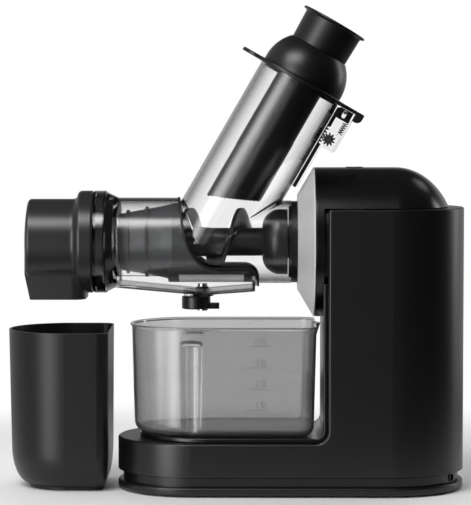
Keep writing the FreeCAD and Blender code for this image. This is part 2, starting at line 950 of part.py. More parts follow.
def seam_line():
    """Open seam curve in the side view, from above the drum to below the trough's end."""
    flat_z = seam_foot[1]
    drop = seam_end_x - seam_flat_end
    slant = drop * math.sqrt(0.5)
    place = lambda p: V(p[0], 0, p[1])
    upper = Part.LineSegment(place(seam_top), place(seam_upper)).toShape()
    fall = V(seam_upper[0] - seam_top[0], 0, seam_upper[1] - seam_top[1]).normalize()
    bend = biarc(place(seam_upper), fall, place(seam_foot), V(1, 0, 0))
    flat = Part.LineSegment(place(seam_foot), V(seam_flat_end, 0, flat_z)).toShape()
    corner = Part.Arc(
        V(seam_flat_end, 0, flat_z),
        V(seam_flat_end + slant, 0, flat_z - drop + slant),
        V(seam_end_x, 0, flat_z - drop),
    ).toShape()
    low = Part.LineSegment(V(seam_end_x, 0, flat_z - drop), V(seam_end_x, 0, seam_low_z)).toShape()
    return [upper] + bend + [flat, corner, low]


def seam_side():
    """Block of everything on the feed side of the seam."""
    far = half_depth * 3
    right = V(seam_end_x + far, 0, seam_low_z)
    top_right = V(seam_end_x + far, 0, seam_top[1])
    edges = seam_line()
    edges.append(Part.LineSegment(V(seam_end_x, 0, seam_low_z), right).toShape())
    edges.append(Part.LineSegment(right, top_right).toShape())
    edges.append(Part.LineSegment(top_right, V(seam_top[0], 0, seam_top[1])).toShape())
    face = Part.Face(Part.Wire(edges))
    face.translate(V(0, -half_depth, 0))
    return face.extrude(V(0, 2 * half_depth, 0))


def seam_band(width):
    """Block of the given width along the seam."""
    ribbon = Part.Wire(seam_line()).makeOffset2D(width / 2, fill=True, openResult=True)
    ribbon.translate(V(0, -half_depth, 0))
    return ribbon.extrude(V(0, 2 * half_depth, 0))


def trough_block(inset):
    """Block of the trough under the drum, a shallow V in the side view, moved inwards by the inset."""
    right = seam_end_x - seam_half - inset
    steps = [
        (trough_left + inset, trough_left_z + inset),
        (trough_low_x, trough_low_z + inset),
        (right, trough_right_z + inset),
        (right, axis_z - rear_bore / 2),
    ]
    half = trough_half - inset
    body = side_prism((trough_left + inset, axis_z - rear_bore / 2), steps, -half, half)
    low = edges_at(body, lambda c: near(abs(c.y), half) and c.z < trough_left_z + inset and c.x < right - 1)
    return body.makeFillet(trough_round - inset, low)


def make_juice_housing():
    bore = drum_radius - drum_wall
    inner_flange = flange_radius - drum_wall
    outer_steps = [
        (flange_left - neck_length, neck_radius),
        (flange_left, neck_radius),
        (flange_left, flange_radius - 0.6),
        (flange_left + 0.6, flange_radius),
        (flange_right - 1.5, flange_radius),
        (flange_right, flange_radius - 1.5),
        (drum_start, drum_radius),
        (seam_end_x, drum_radius),
        (seam_end_x, 0),
    ]
    outer = lathe((flange_left - neck_length, 0), outer_steps)
    room_left = web_x + web_thick
    room_right = seam_end_x + 1
    chamber = lathe((room_left, 0), [(room_left, bore), (room_right, bore), (room_right, 0)])
    mouth_steps = [
        (flange_left - neck_length - 1, neck_bore),
        (flange_left + drum_wall, neck_bore),
        (flange_left + drum_wall, inner_flange),
        (flange_right - drum_wall, inner_flange),
        (web_x, drum_radius - drum_wall),
        (web_x, 0),
    ]
    mouth = lathe((flange_left - neck_length - 1, 0), mouth_steps)
    shell = outer.fuse(trough_block(0))
    boss_height = boss_top_z - boss_low_z
    boss = Part.makeCone(boss_low_radius, boss_top_radius, boss_height, V(trough_low_x, 0, boss_low_z))
    outlet = rod_z(outlet_bore + outlet_wall, boss_low_z, trough_low_z + 2, outlet_x)
    hollow = trough_block(trough_wall).fuse(chamber)
    shell = shell.fuse(outlet).cut(hollow).fuse(boss)
    shell = shell.cut(mouth)
    shell = shell.cut(rod_x(web_bore, web_x - 1, web_x + web_thick + 1))
    shell = shell.cut(rod_z(outlet_bore, boss_low_z - 1, trough_left_z, outlet_x))
    shell = shell.cut(rod_z(pivot_radius + fit_gap, boss_low_z - 1, boss_top_z + 1, trough_low_x))
    return shell.cut(seam_side()).cut(seam_band(seam_width))


def make_feed_housing():
    drum = rod_x(rear_radius, seam_top[0], rear_end)
    bore = rod_x(rear_bore, seam_top[0] - 1, rear_end + 1)
    drum = drum.common(seam_side()).cut(seam_band(seam_width))
    low = -tube_radius
    tube = tilt(rod_z(tube_radius, low, tube_top)).common(above_tube_foot())
    lower = tube.common(seam_side()).cut(seam_band(seam_width))
    tube = lower.fuse(tilt(rod_z(tube_radius, tube_radius * 1.6, tube_top)))
    far = 4 * half_depth
    way_in = tilt(rod_z(tube_bore, low, tube_top + 1)).common(block(-far, far, -far, far, axis_z, axis_z + far))
    return drum.fuse(tube).cut(bore).cut(way_in)


def above_tube_foot():
    """Block of everything above the tube's rounded lower end, as seen from the side."""
    points = [V(x, -half_depth, z) for x, z in tube_foot]
    curve = [Part.Arc(*points[i:i + 3]).toShape() for i in range(0, len(points) - 2, 2)]
    far = 4 * half_depth
    high = axis_z + far
    corners = [
        points[-1],
        V(far, -half_depth, points[-1].z),
        V(far, -half_depth, high),
        V(-far, -half_depth, high),
        V(-far, -half_depth, points[0].z),
        points[0],
    ]
    lines = [Part.LineSegment(a, b).toShape() for a, b in zip(corners, corners[1:])]
    face = Part.Face(Part.Wire(curve + lines))
    return face.extrude(V(0, 2 * half_depth, 0))


def make_chamber_seal():
    ring = rod_x(drum_radius + 0.4, seam_top[0], seam_end_x + seam_width)
    ring = ring.cut(rod_x(rear_bore + 0.2, seam_top[0] - 1, seam_end_x + seam_width + 1))
    seal = ring.common(seam_band(seam_width - 2 * seal_slack))
    return seal.cut(tilt(rod_z(tube_radius + seal_slack, 0, tube_top)))


def make_front_seal():
    """Soft ring that fills the hollow of the drum's front flange."""
    bore = drum_radius - drum_wall
    steps = [
        (flange_left + drum_wall + seat_gap, flange_radius - drum_wall - run_gap),
        (flange_right - drum_wall, flange_radius - drum_wall - run_gap),
        (web_x - seat_gap, bore - seat_gap),
        (web_x - seat_gap, neck_bore),
    ]
    return lathe((flange_left + drum_wall + seat_gap, neck_bore), steps)


def make_bayonet_ring():
    skirt = seat_bore - run_gap
    flange_end = rear_end + ring_flange_thick
    steps = [
        (rear_end, ring_flange),
        (flange_end, ring_flange),
        (flange_end, skirt),
        (ring_end, skirt),
        (ring_end, skirt - ring_wall),
        (rear_end + ring_web, skirt - ring_wall),
        (rear_end + ring_web, hub_radius + seat_gap),
        (rear_end, hub_radius + seat_gap),
    ]
    ring = lathe(steps[0], steps[1:])
    lug_x = ring_end - 2 * lug_length
    for i in range(3):
        lug = block(lug_x, lug_x + lug_length, -6, 6, axis_z + skirt - 1, axis_z + skirt + lug_height + 2)
        lug = lug.common(rod_x(skirt + lug_height, lug_x - 1, ring_end))
        lug.rotate(V(0, 0, axis_z), V(1, 0, 0), 120 * i)
        ring = ring.fuse(lug)
    return ring


def basket_outline(inset):
    """Profile of the strainer basket from its collar to its full bore."""
    return [
        (web_x - 1, basket_collar - inset),
        (basket_front + inset, basket_collar - inset),
        (basket_front + inset, basket_front_radius - inset),
        (basket_mid, basket_mid_radius - inset),
        (basket_full, basket_radius - inset),
        (seam_end_x + 1, basket_radius - inset),
        (seam_end_x + 1, 0),
    ]


def make_strainer_basket():
    basket = lathe((web_x - 1, 0), basket_outline(0))
    rise = (basket_mid_radius - basket_front_radius) / (basket_mid - basket_front)
    for x in rib_places:
        r = basket_front_radius + rise * (x - basket_front) + rib_height
        basket = basket.fuse(rod_x(r, x - rib_width / 2, x + rib_width / 2))
    basket = basket.fuse(rod_x(drum_radius - drum_wall - seat_gap, web_x + web_thick + fit_gap, basket_front))
    basket = basket.fuse(screen_sector(-frame_width, basket_radius - basket_wall / 2, frame_radius))
    basket = basket.cut(screen_sector(-fit_gap, frame_radius - screen_thick - fit_gap, half_depth))
    inner = basket_outline(basket_wall)
    inner[0] = (web_x - 2, basket_collar - basket_wall)
    basket = basket.cut(lathe((web_x - 2, 0), inner))
    basket = basket.cut(seam_side()).cut(seam_band(seam_width))
    return basket.cut(screen_sector(screen_margin, 0, half_depth))


def screen_sector(margin, r0, r1):
    """Part of a ring round the drive axis under the drum, the screen's outline less a margin."""
    left = screen_left + margin
    right = screen_right - margin
    ring = rod_x(r1, left, right)
    ring = ring.cut(rod_x(r0, left - 1, right + 1)) if r0 > 0 else ring
    half = math.radians(screen_arc / 2) - margin / basket_radius
    far = 2 * half_depth
    tip = V(left - 1, 0, axis_z)
    near_side = V(left - 1, far * math.sin(half), axis_z - far * math.cos(half))
    far_side = V(left - 1, -far * math.sin(half), axis_z - far * math.cos(half))
    wedge = Part.Face(Part.makePolygon([tip, near_side, far_side, tip])).extrude(V(right - left + 2, 0, 0))
    return ring.common(wedge)


def make_strainer_screen():
    r0 = frame_radius - screen_thick
    screen = screen_sector(0, r0, frame_radius)
    run = screen_right - screen_left - 2 * screen_margin
    for row in range(screen_rows):
        turn = (row - (screen_rows - 1) / 2) * screen_row_turn
        for column in range(screen_columns):
            x = screen_left + screen_margin + run * (column + 0.5) / screen_columns
            slot = block(x - slot_length / 2, x + slot_length / 2, -slot_width / 2, slot_width / 2,
                         axis_z - half_depth, axis_z - r0 / 2)
            slot.rotate(V(0, 0, axis_z), V(1, 0, 0), turn)
            screen = screen.cut(slot)
    return screen


def make_pulp_spout():
    right = flange_left - gasket_thick
    ring = flange_radius
    face = spout_end + spout_dome
    bow = [
        ((spout_end + spout_dome * 0.3, spout_radius * 0.5), (face - 0.6, spout_radius - 4.2)),
        ((face + 0.8, spout_radius - 1.1), (face + 4.2, spout_radius)),
        (spout_ring_left - 5, spout_radius),
        ((spout_ring_left - 1.6, spout_radius + 1.1), (spout_ring_left - 0.2, spout_radius + 4)),
        ((spout_ring_left + 0.9, ring - 0.8), (spout_ring_left + 3.2, ring)),
        (right - 1, ring),
        (right, ring - 1),
        (right, 0),
    ]
    body = lathe((spout_end, 0), bow)
    chute = block(chute_left, chute_right, -chute_half, chute_half, chute_bottom, axis_z)
    chute = chute.makeFillet(chute_round, edges_at(chute, lambda c: near(abs(c.y), chute_half)
                                                   and (near(c.x, chute_left) or near(c.x, chute_right))))
    room = spout_radius - spout_wall
    hollow = rod_x(room, face + spout_wall, right + 1)
    way_out = block(chute_left + spout_wall, chute_right - spout_wall, -chute_half + spout_wall,
                    chute_half - spout_wall, chute_bottom - 1, axis_z)
    way_out = way_out.makeFillet(chute_round - spout_wall, edges_at(
        way_out,
        lambda c: near(abs(c.y), chute_half - spout_wall) and near(c.z, (chute_bottom - 1 + axis_z) / 2),
    ))
    socket = rod_x(neck_radius + run_gap, flange_left - neck_length - run_gap, right + 1)
    return body.fuse(chute).cut(hollow).cut(way_out).cut(socket)


def make_spout_seal():
    left = flange_left - gasket_thick
    ring = rod_x(flange_radius - 0.8, left + 0.1, flange_left - 0.1)
    return ring.cut(rod_x(neck_radius + fit_gap, left, flange_left))


def make_drip_pivot():
    low = drip_top - drip_thick
    stem = rod_z(pivot_radius, low, boss_top_z + 1, trough_low_x)
    head = rod_z(pivot_head, low - 1.6, low - seat_gap, trough_low_x)
    neck = rod_z(pivot_radius, low - 1, low + 1, trough_low_x)
    clip = rod_z(pivot_clip, boss_top_z + 0.2, boss_top_z + 2.6, trough_low_x)
    return stem.fuse(neck).fuse(head).fuse(clip).removeSplitter()


def make_drip_stop():
    low = drip_top - drip_thick
    body = rod_z(drip_radius, low, drip_top, drip_x)
    body = body.makeFillet(1.0, edges_at(body, lambda c: near(c.z, low) or near(c.z, drip_top)))
    lever = block(trough_low_x, trough_low_x + drip_lever, -drip_lever_half, drip_lever_half, low,
                  low + drip_lever_thick)
    tip = edges_at(lever, lambda c: near(c.x, trough_low_x + drip_lever) and near(abs(c.y), drip_lever_half))
    lever = lever.makeFillet(2.5, tip)
    body = body.fuse(lever)
    body = body.cut(rod_z(outlet_bore + 0.5, low - 1, drip_top + 1, outlet_x))
    return body.cut(rod_z(pivot_radius + fit_gap, low - 1, drip_top + 1, trough_low_x))


def lid_outline():
    """Plate of the lid from above: a disc with a finger tab on the left and a lug on the right."""
    disc = rod_z(lid_disc, lid_bottom, lid_top)
    tab = block(lid_left + lid_tab_half, 0, -lid_tab_half, lid_tab_half, lid_bottom, lid_top)
    tab = tab.fuse(rod_z(lid_tab_half, lid_bottom, lid_top, lid_left + lid_tab_half))
    lug = block(0, lid_right, -lid_lug_half, lid_lug_half, lid_bottom, lid_top)
    return disc.fuse(tab).fuse(lug).removeSplitter()


def arc_on_sphere(radius, s0, s1):
    """Middle and end point of the arc of a sphere about the dome's centre from height s0 to s1."""
    a0 = math.asin((s0 - dome_centre) / radius)
    a1 = math.asin((s1 - dome_centre) / radius)
    points = []
    for a in ((a0 + a1) / 2, a1):
        points.append((radius * math.cos(a), dome_centre + radius * math.sin(a)))
    return tuple(points)


def make_feed_lid():
    plate = lid_outline()
    rim = edges_at(plate, lambda c: near(c.z, lid_top))
    plate = plate.makeFillet(1.0, rim)
    hook = block(lid_lug_left, lid_right, -lid_lug_half, lid_lug_half, lid_bottom - lid_lug_depth, lid_top - 1)
    hook = hook.makeFillet(lid_lug_round, edges_at(hook, lambda c: near(c.x, lid_right)
                                                   and near(c.z, lid_bottom - lid_lug_depth)))
    inner = dome_radius - dome_wall
    outer_r = math.sqrt(dome_radius ** 2 - (dome_centre - lid_top) ** 2)
    guide = pusher_radius + run_gap
    spigot = tube_bore - run_gap
    under_neck = neck_s - lid_thick
    inner_top = math.sqrt(inner ** 2 - (under_neck - dome_centre) ** 2)
    steps = [
        (spigot, lid_bottom - lid_spigot),
        (spigot, lid_bottom),
        (outer_r, lid_bottom),
        (outer_r, lid_top),
        arc_on_sphere(dome_radius, lid_top, neck_s),
        (guide, neck_s),
        (guide, under_neck),
        (inner_top, under_neck),
        arc_on_sphere(inner, under_neck, dome_centre),
        (spigot - spigot_wall, lid_top),
        (spigot - spigot_wall, lid_bottom - lid_spigot),
    ]
    dome = turned(steps[0], steps[1:])
    plate = plate.cut(rod_z(spigot - spigot_wall, lid_bottom - 1, lid_top + 1))
    return tilt(plate.fuse(hook).fuse(dome))


def make_pusher():
    shoulder = neck_s + seat_gap
    rim_low = pusher_top - rim_height
    outer = [
        (pusher_radius, 0),
        (pusher_radius, shoulder),
        (head_low_radius, shoulder),
        (head_high_radius, rim_low - 1.4),
        ((head_high_radius + 0.8, rim_low - 0.4), (pusher_rim, rim_low)),
        ((pusher_rim + 0.6, (rim_low + pusher_top) / 2), (pusher_rim, pusher_top)),
        (0, pusher_top),
    ]
    body = turned((0, 0), outer)
    bore = pusher_radius - pusher_wall
    head_bore = head_low_radius - pusher_wall
    hollow = turned((0, 0), [
        (bore, 0),
        (bore, shoulder + 1),
        (head_bore, shoulder + 3),
        (head_bore + 0.8, rim_low),
        (head_bore + 3.2, pusher_top + 0.1),
        (0, pusher_top + 0.1),
    ])
    slope = (pusher_high - pusher_low) / (2 * pusher_radius)
    reach = 1.2 * pusher_radius
    edge = lambda n: pusher_low + slope * (n + pusher_radius)
    floor = side_prism((-reach, -10), [(reach, -10), (reach, edge(reach) + pusher_floor),
                                       (-reach, edge(-reach) + pusher_floor)], -reach, reach)
    saw = [(reach, -10)]
    step = 2 * reach / tooth_count
    for i in range(tooth_count):
        n = reach - i * step
        saw.append((n, edge(n)))
        saw.append((n - step / 2, edge(n - step / 2) + tooth_depth))
    saw.append((-reach, edge(-reach)))
    below = side_prism((-reach, -10), saw, -reach, reach)
    return tilt(body.cut(hollow.cut(floor)).cut(below))


def make_interlock_case():
    tube_edge = tube_radius - 2
    case = block(tube_edge, case_right, -case_half, case_half, case_low, case_high)
    case = case.makeFillet(3.0, edges_at(case, lambda c: near(c.x, case_right) and near(c.z, case_low)))
    ears = block(ear_left, ear_right, -case_half, case_half, case_high - 1, pin_s + 2.2)
    channel = block(tube_edge, channel_right, -channel_half, channel_half, channel_low, case_low + 1)
    room_half = case_half - case_wall
    room_low = case_low + case_wall
    room = block(slider_left - 0.5, case_right - case_wall, -room_half, room_half, room_low, lid_bottom)
    bar_room = block(slider_left - 0.5, channel_right - case_wall, -slider_bar - run_gap, slider_bar + run_gap,
                     channel_low - 1, case_low + 2 * case_wall)
    shelf = block(shelf_left, case_right - 1, -room_half - 0.5, room_half + 0.5, shelf_s - shelf_thick, shelf_s)
    case = case.fuse(ears).fuse(channel).cut(room).cut(bar_room).fuse(shelf)
    case = case.cut(rod_z(tube_radius, 0, lid_bottom))
    case = case.cut(rod_y(pin_radius + fit_gap, -half_depth, half_depth, pin_n, pin_s))
    return tilt(case.cut(rod_y(damper_axle + fit_gap, -half_depth, half_depth, damper_n, damper_s)))


def make_interlock_slider():
    head = side_prism(
        (slider_left, slider_head_low),
        [
            (slider_left, lid_bottom - 2.4),
            (slider_left + 3, lid_bottom - run_gap),
            (slider_right, lid_bottom - run_gap),
            (slider_right, slider_head_low),
        ],
        -slider_half, slider_half,
    )
    line = damper_n - damper_module * (damper_teeth / 2 + damper_shift)
    tip = line + damper_module
    root = line - 1.25 * damper_module
    bar = block(slider_left, tip, -slider_bar, slider_bar, slider_low, slider_head_low + 1)
    pitch = math.pi * damper_module
    lean = math.tan(pressure_angle)
    gap_half = pitch / 4 + backlash / 2
    for k in range(-2, 4):
        s = damper_s + k * pitch
        top_half = gap_half + lean * damper_module
        low_half = gap_half - lean * 1.25 * damper_module
        gap = side_prism((root, s - low_half), [(tip + 0.1, s - top_half), (tip + 0.1, s + top_half),
                                                (root, s + low_half)], -half_depth, half_depth)
        bar = bar.cut(gap)
    slider = head.fuse(bar)
    slot = pin_radius + run_gap
    low = pin_s - slider_travel - run_gap
    slider = slider.cut(block(pin_n - slot, pin_n + slot, -half_depth, half_depth, low, pin_s))
    slider = slider.cut(rod_y(slot, -half_depth, half_depth, pin_n, low))
    return tilt(slider.cut(rod_y(slot, -half_depth, half_depth, pin_n, pin_s)))


def make_slider_pin():
    return tilt(rod_y(pin_radius, -case_half, case_half, pin_n, pin_s))


def make_damper_pinion():
    gear = gear_face(damper_module, damper_teeth, damper_shift, backlash, -math.pi / 2, 0)
    gear = gear.extrude(V(2 * damper_half, 0, 0))
    gear.translate(V(-damper_half, 0, 0))
    gear = gear.fuse(rod_x(damper_axle, -case_half, case_half, 0))
    gear.rotate(V(0, 0, 0), V(0, 0, 1), 90)
    gear.translate(V(damper_n, 0, damper_s))
    return tilt(gear)


def biarc(p0, t0, p1, t1):
    """Two arcs that leave p0 along t0 and reach p1 along t1."""
    span = p1 - p0
    both = t0 + t1
    drift = span.dot(both)
    bend = 2 * (1 - t0.dot(t1))
    reach = (math.sqrt(drift ** 2 + bend * span.dot(span)) - drift) / bend
    joint = (p0 + p1 + (t0 - t1) * reach) * 0.5
    arcs = []
    for start, way, end in ((p0, t0, joint), (p1, t1 * -1, joint)):
        chord = end - start
        along = V(chord).normalize()
        side = way - along * way.dot(along)
        bow = math.atan2(side.Length, way.dot(along))
        middle = start + chord * 0.5 + V(side).normalize() * (chord.Length / 2 * math.tan(bow / 2))
        arcs.append((start, middle, end))
    first, last = arcs
    return [Part.Arc(*first).toShape(), Part.Arc(last[2], last[1], last[0]).toShape()]


def make_slider_spring():
    """Compression spring as one tube: a helix of half-turn biarcs with a straight run at each end."""
    low = shelf_s + spring_wire / 2 + seat_gap / 2
    high = slider_head_low - spring_wire / 2 - seat_gap
    rise = (high - low) / (2 * math.pi * spring_turns)

    def point(a):
        return V(spring_n + spring_radius * math.cos(a), spring_radius * math.sin(a), low + rise * a)

    def heading(a):
        return V(-spring_radius * math.sin(a), spring_radius * math.cos(a), rise).normalize()

    edges = []
    halves = 2 * spring_turns
    for i in range(halves):
        a0 = math.pi * i
        a1 = math.pi * (i + 1)
        edges += biarc(point(a0), heading(a0), point(a1), heading(a1))
    first, last = point(0), point(math.pi * halves)
    lead_in = first - heading(0) * spring_wire
    lead_out = last + heading(math.pi * halves) * spring_wire
    path = [Part.LineSegment(lead_in, first).toShape()] + edges + [Part.LineSegment(last, lead_out).toShape()]
    section = Part.Wire(Part.makeCircle(spring_wire / 2, lead_in, heading(0)))
    spring = Part.Wire(path).makePipeShell([section], True)
    steps = 48
    turn = 2 * math.pi
    gap = min(
        (point(turn * (i / steps + 1 + j / steps / 4)) - point(turn * i / steps)).Length
        for i in range(steps) for j in range(-steps, steps)
    ) - spring_wire
    print("slider spring: least gap to itself", round(gap, 2), "mm")
    return tilt(spring)


def d_outline(left, right, half, corner, z, y=0.0):
    """Plan outline with a round left end and a flat right side with rounded corners."""
    slant = corner * (1 - math.sqrt(0.5))
    flat = half - corner
    steps = [
        (right - corner, y - half),
        ((right - slant, y - half + slant), (right, y - flat)),
        (right, y + flat),
        ((right - slant, y + half - slant), (right - corner, y + half)),
        (left + half, y + half),
        ((left, y), (left + half, y - half)),
    ]
    return closed_wire((left + half, y - half), steps, lambda px, py: V(px, py, z))


def jug_block(inset, z0):
    """Drafted block of the jug's body, moved inwards by the inset, from z0 to the rim."""
    low = jug_draft + inset
    wires = [
        d_outline(jug_left + low, jug_right - low, jug_half - low, jug_corner, z0),
        d_outline(jug_left + inset, jug_right - inset, jug_half - inset, jug_corner, jug_top),
    ]
    body = Part.makeLoft(wires, True, True)
    return body.makeFillet(jug_round - inset, edges_at(body, lambda c: near(c.z, z0)))


jug_bottom = tray_top + seat_gap
jug_top = jug_bottom + jug_height


def grip(radius):
    """Finger recess on both long sides, a groove that ends in a round top."""
    shape = None
    for side in (-1, 1):
        y = side * (jug_half - grip_depth + grip_radius)
        top = grip_top + radius - grip_radius
        groove = rod_z(radius, jug_bottom - 1, top, grip_x, y)
        groove = groove.makeFillet(grip_round, edges_at(groove, lambda c: near(c.z, top)))
        shape = groove if shape is None else shape.fuse(groove)
    return shape


def lip_cone(inset):
    x = spout_lip - lip_radius
    low = lip_radius - (spout_lip - jug_right) - jug_draft
    return Part.makeCone(low - inset, lip_radius - inset, lip_drop, V(x, 0, jug_top - lip_drop))


def make_juice_jug():
    rim = d_outline(jug_left - jug_rim, jug_right, jug_half + jug_rim, jug_corner, jug_top - jug_rim_height)
    rim = Part.Face(rim).extrude(V(0, 0, jug_rim_height))
    shell = jug_block(0, jug_bottom).fuse(rim).fuse(lip_cone(0)).cut(grip(grip_radius))
    room = jug_block(jug_wall, jug_bottom + jug_floor)
    room = room.fuse(lip_cone(jug_wall)).cut(grip(grip_radius + jug_wall))
    return shell.cut(room)


def cup_block(inset, z0):
    """Cup body: a short foot, a bowl that swells in a quarter ellipse and a drafted wall."""
    shape = []
    for step in range(5):
        rise = step / 4
        z = z0 + cup_foot + (cup_bowl - cup_foot) * (1 - math.cos(rise * math.pi / 2))
        draw = cup_draft + cup_foot_inset * (1 - math.sin(rise * math.pi / 2)) + inset
        shape.append((z, draw))
    wires = []
    for z, draw in shape:
        wires.append(cup_outline(draw, z))
    bowl = Part.makeLoft(wires, True, False)
    rims = [cup_outline(cup_draft + inset, z0 + cup_bowl), cup_outline(inset, cup_height)]
    wall = Part.makeLoft(rims, True, True)
    return bowl.fuse(wall)


def cup_outline(draw, z):
    return d_outline(cup_left + draw, cup_right - draw / 3, cup_half - draw, cup_corner, z, cup_y)


def make_pulp_cup():
    outer = cup_block(0, 0)
    foot = Part.Face(cup_outline(cup_foot_inset + cup_draft - 0.5, 0)).extrude(V(0, 0, cup_foot + 0.5))
    return outer.fuse(foot).cut(cup_block(cup_wall, cup_wall))


def make_control_board():
    right = board_left + board_length
    board = block(board_left, right, -board_half, board_half, board_z, board_z + board_thick)
    top = board_z + board_thick
    for x, y, r, h in capacitors:
        board = board.fuse(rod_z(r, top - 0.5, top + h, board_left + x, y))
    for x, y, length, width, h in relays:
        x0 = board_left + x
        board = board.fuse(block(x0, x0 + length, y, y + width, top - 0.5, top + h))
    return board


makers = {
    "base_plate": make_base_plate,
    "cord_gland": make_cord_gland,
    "rubber_feet": make_rubber_feet,
    "base_screws": make_base_screws,
    "main_housing": make_main_housing,
    "front_fascia": make_front_fascia,
    "top_cover": make_top_cover,
    "power_button": make_power_button,
    "power_switch": make_power_switch,
    "front_bezel": make_front_bezel,
    "bayonet_seat": make_bayonet_seat,
    "shaft_seal": make_shaft_seal,
    "lid_switch": make_lid_switch,
    "output_gear": make_output_gear,
    "cluster_gear": make_cluster_gear,
    "cluster_axle": make_cluster_axle,
    "motor_pinion": make_motor_pinion,
    "motor_can": make_motor_can,
    "motor_rotor": make_rotor,
    "cooling_fan": make_cooling_fan,
    "gearbox_front_plate": make_gearbox_front_plate,
    "gearbox_rear_plate": make_gearbox_rear_plate,
    "gearbox_pillars": make_gearbox_pillars,
    "bearing_front": make_bearing_front,
    "bearing_rear": make_bearing_rear,
    "drive_shaft": make_drive_shaft,
    "auger": make_auger,
    "auger_seal": make_auger_seal,
    "juice_housing": make_juice_housing,
    "feed_housing": make_feed_housing,
    "chamber_seal": make_chamber_seal,
    "front_seal": make_front_seal,
    "bayonet_ring": make_bayonet_ring,
    "strainer_basket": make_strainer_basket,
    "strainer_screen": make_strainer_screen,
    "pulp_spout": make_pulp_spout,
    "spout_seal": make_spout_seal,
    "drip_pivot": make_drip_pivot,
    "drip_stop": make_drip_stop,
    "feed_lid": make_feed_lid,
    "pusher": make_pusher,
    "interlock_case": make_interlock_case,
    "interlock_slider": make_interlock_slider,
    "slider_pin": make_slider_pin,
    "slider_spring": make_slider_spring,
    "damper_pinion": make_damper_pinion,
    "juice_jug": make_juice_jug,
    "pulp_cup": make_pulp_cup,
    "control_board": make_control_board,
}

os.makedirs("parts", exist_ok=True)
centre_x = (cup_left + base_right) / 2
for name, maker in makers.items():
    made = maker()
    shape = Part.makeCompound(made) if isinstance(made, list) else made
    shape.translate(V(-centre_x, 0, 0))
    shape.exportStep("parts/" + name + ".step")
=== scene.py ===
"""Looks of the horizontal slow juicer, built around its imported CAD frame.

The pieces are worked out in millimetres, and the stage, the lamps and the camera are in metres.
"""

import json
import math
from functools import reduce

import bpy
import numpy as np
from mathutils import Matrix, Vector


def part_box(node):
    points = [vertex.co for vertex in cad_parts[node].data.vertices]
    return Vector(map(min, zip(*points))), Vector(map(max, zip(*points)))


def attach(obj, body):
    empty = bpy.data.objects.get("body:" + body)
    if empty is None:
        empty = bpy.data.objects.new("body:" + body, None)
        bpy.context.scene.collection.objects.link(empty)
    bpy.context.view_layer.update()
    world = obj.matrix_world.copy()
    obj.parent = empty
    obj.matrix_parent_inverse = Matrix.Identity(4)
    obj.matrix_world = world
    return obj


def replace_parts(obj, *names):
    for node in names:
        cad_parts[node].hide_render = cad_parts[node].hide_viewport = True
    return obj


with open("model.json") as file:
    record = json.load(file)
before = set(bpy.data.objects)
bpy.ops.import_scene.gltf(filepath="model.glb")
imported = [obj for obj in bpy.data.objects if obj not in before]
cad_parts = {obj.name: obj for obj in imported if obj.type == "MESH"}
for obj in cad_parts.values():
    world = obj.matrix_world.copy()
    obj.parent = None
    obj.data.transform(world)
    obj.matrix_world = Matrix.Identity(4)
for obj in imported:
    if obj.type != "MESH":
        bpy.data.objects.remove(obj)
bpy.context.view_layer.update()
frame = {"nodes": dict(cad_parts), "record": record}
scene = bpy.context.scene

MM = 0.001
# The drive axis lies along X at this height.
AXIS_Z = 215.0
# X is counted from the source's zero, and CENTRE_X takes it over into the frame, whose zero is elsewhere.
BASE_LEFT = -104.0
CENTRE_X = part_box("base_plate")[0][0] / MM - BASE_LEFT
FEED_X = -25.2 + CENTRE_X
FEED_TILT = math.radians(30)
WHITE = (1, 1, 1, 1)


# Shader nodes

def feed(tree, socket, value):
    """Give a socket another node's output, or a fixed value."""
    if isinstance(value, bpy.types.NodeSocket):
        tree.links.new(value, socket)
    else:
        socket.default_value = value


def add(tree, kind, **values):
    """New node with its properties set and its inputs fed. An input is in_ and its name or number."""
    node = tree.nodes.new(kind)
    for key, value in values.items():
        if key.startswith("in_"):
            label = key.removeprefix("in_")
            feed(tree, node.inputs[int(label) if label.isdigit() else label.replace("_", " ")], value)
        else:
            setattr(node, key, value)
    return node


def first_node(tree, kind):
    """First node of a type in a tree."""
    return next(node for node in tree.nodes if node.type == kind)


def both(tree, operation, a, b):
    """Output of a maths node on two values."""
    return add(tree, "ShaderNodeMath", operation=operation, in_0=a, in_1=b).outputs[0]


def joined(tree, operation, values):
    """Output of the maths nodes that carry one operation through a list of values."""
    return reduce(lambda a, b: both(tree, operation, a, b), values)


def ramp(tree, value, first, last, low=0.0, high=1.0, kind="SMOOTHSTEP"):
    """Low up to the first value, high from the last value on, and a ramp between them."""
    return add(tree, "ShaderNodeMapRange", interpolation_type=kind, in_0=value, in_1=first, in_2=last,
               in_3=low, in_4=high).outputs[0]


def noise(tree, place, scale, detail, roughness=0.5, distortion=0.0):
    """Output of a noise texture over a place."""
    return add(tree, "ShaderNodeTexNoise", in_Vector=place, in_Scale=scale, in_Detail=detail,
               in_Roughness=roughness, in_Distortion=distortion).outputs[0]


def scaled(tree, color, factor):
    """A colour times a factor."""
    return add(tree, "ShaderNodeVectorMath", operation="SCALE", in_0=color, in_Scale=factor).outputs[0]


# Shader groups

DUST_SHARE = 0.02
DUST_GREY = (0.32, 0.32, 0.31, 1)
# Scratches are stretched along Y, so their noise is coarser there.
SCRATCH_SCALE = (600.0, 60.0, 600.0)
# Brushed lines: steps of noise for each metre away from the axis, and for each radian round it.
LINES_ACROSS = 6000.0
LINES_ROUND = 2.5


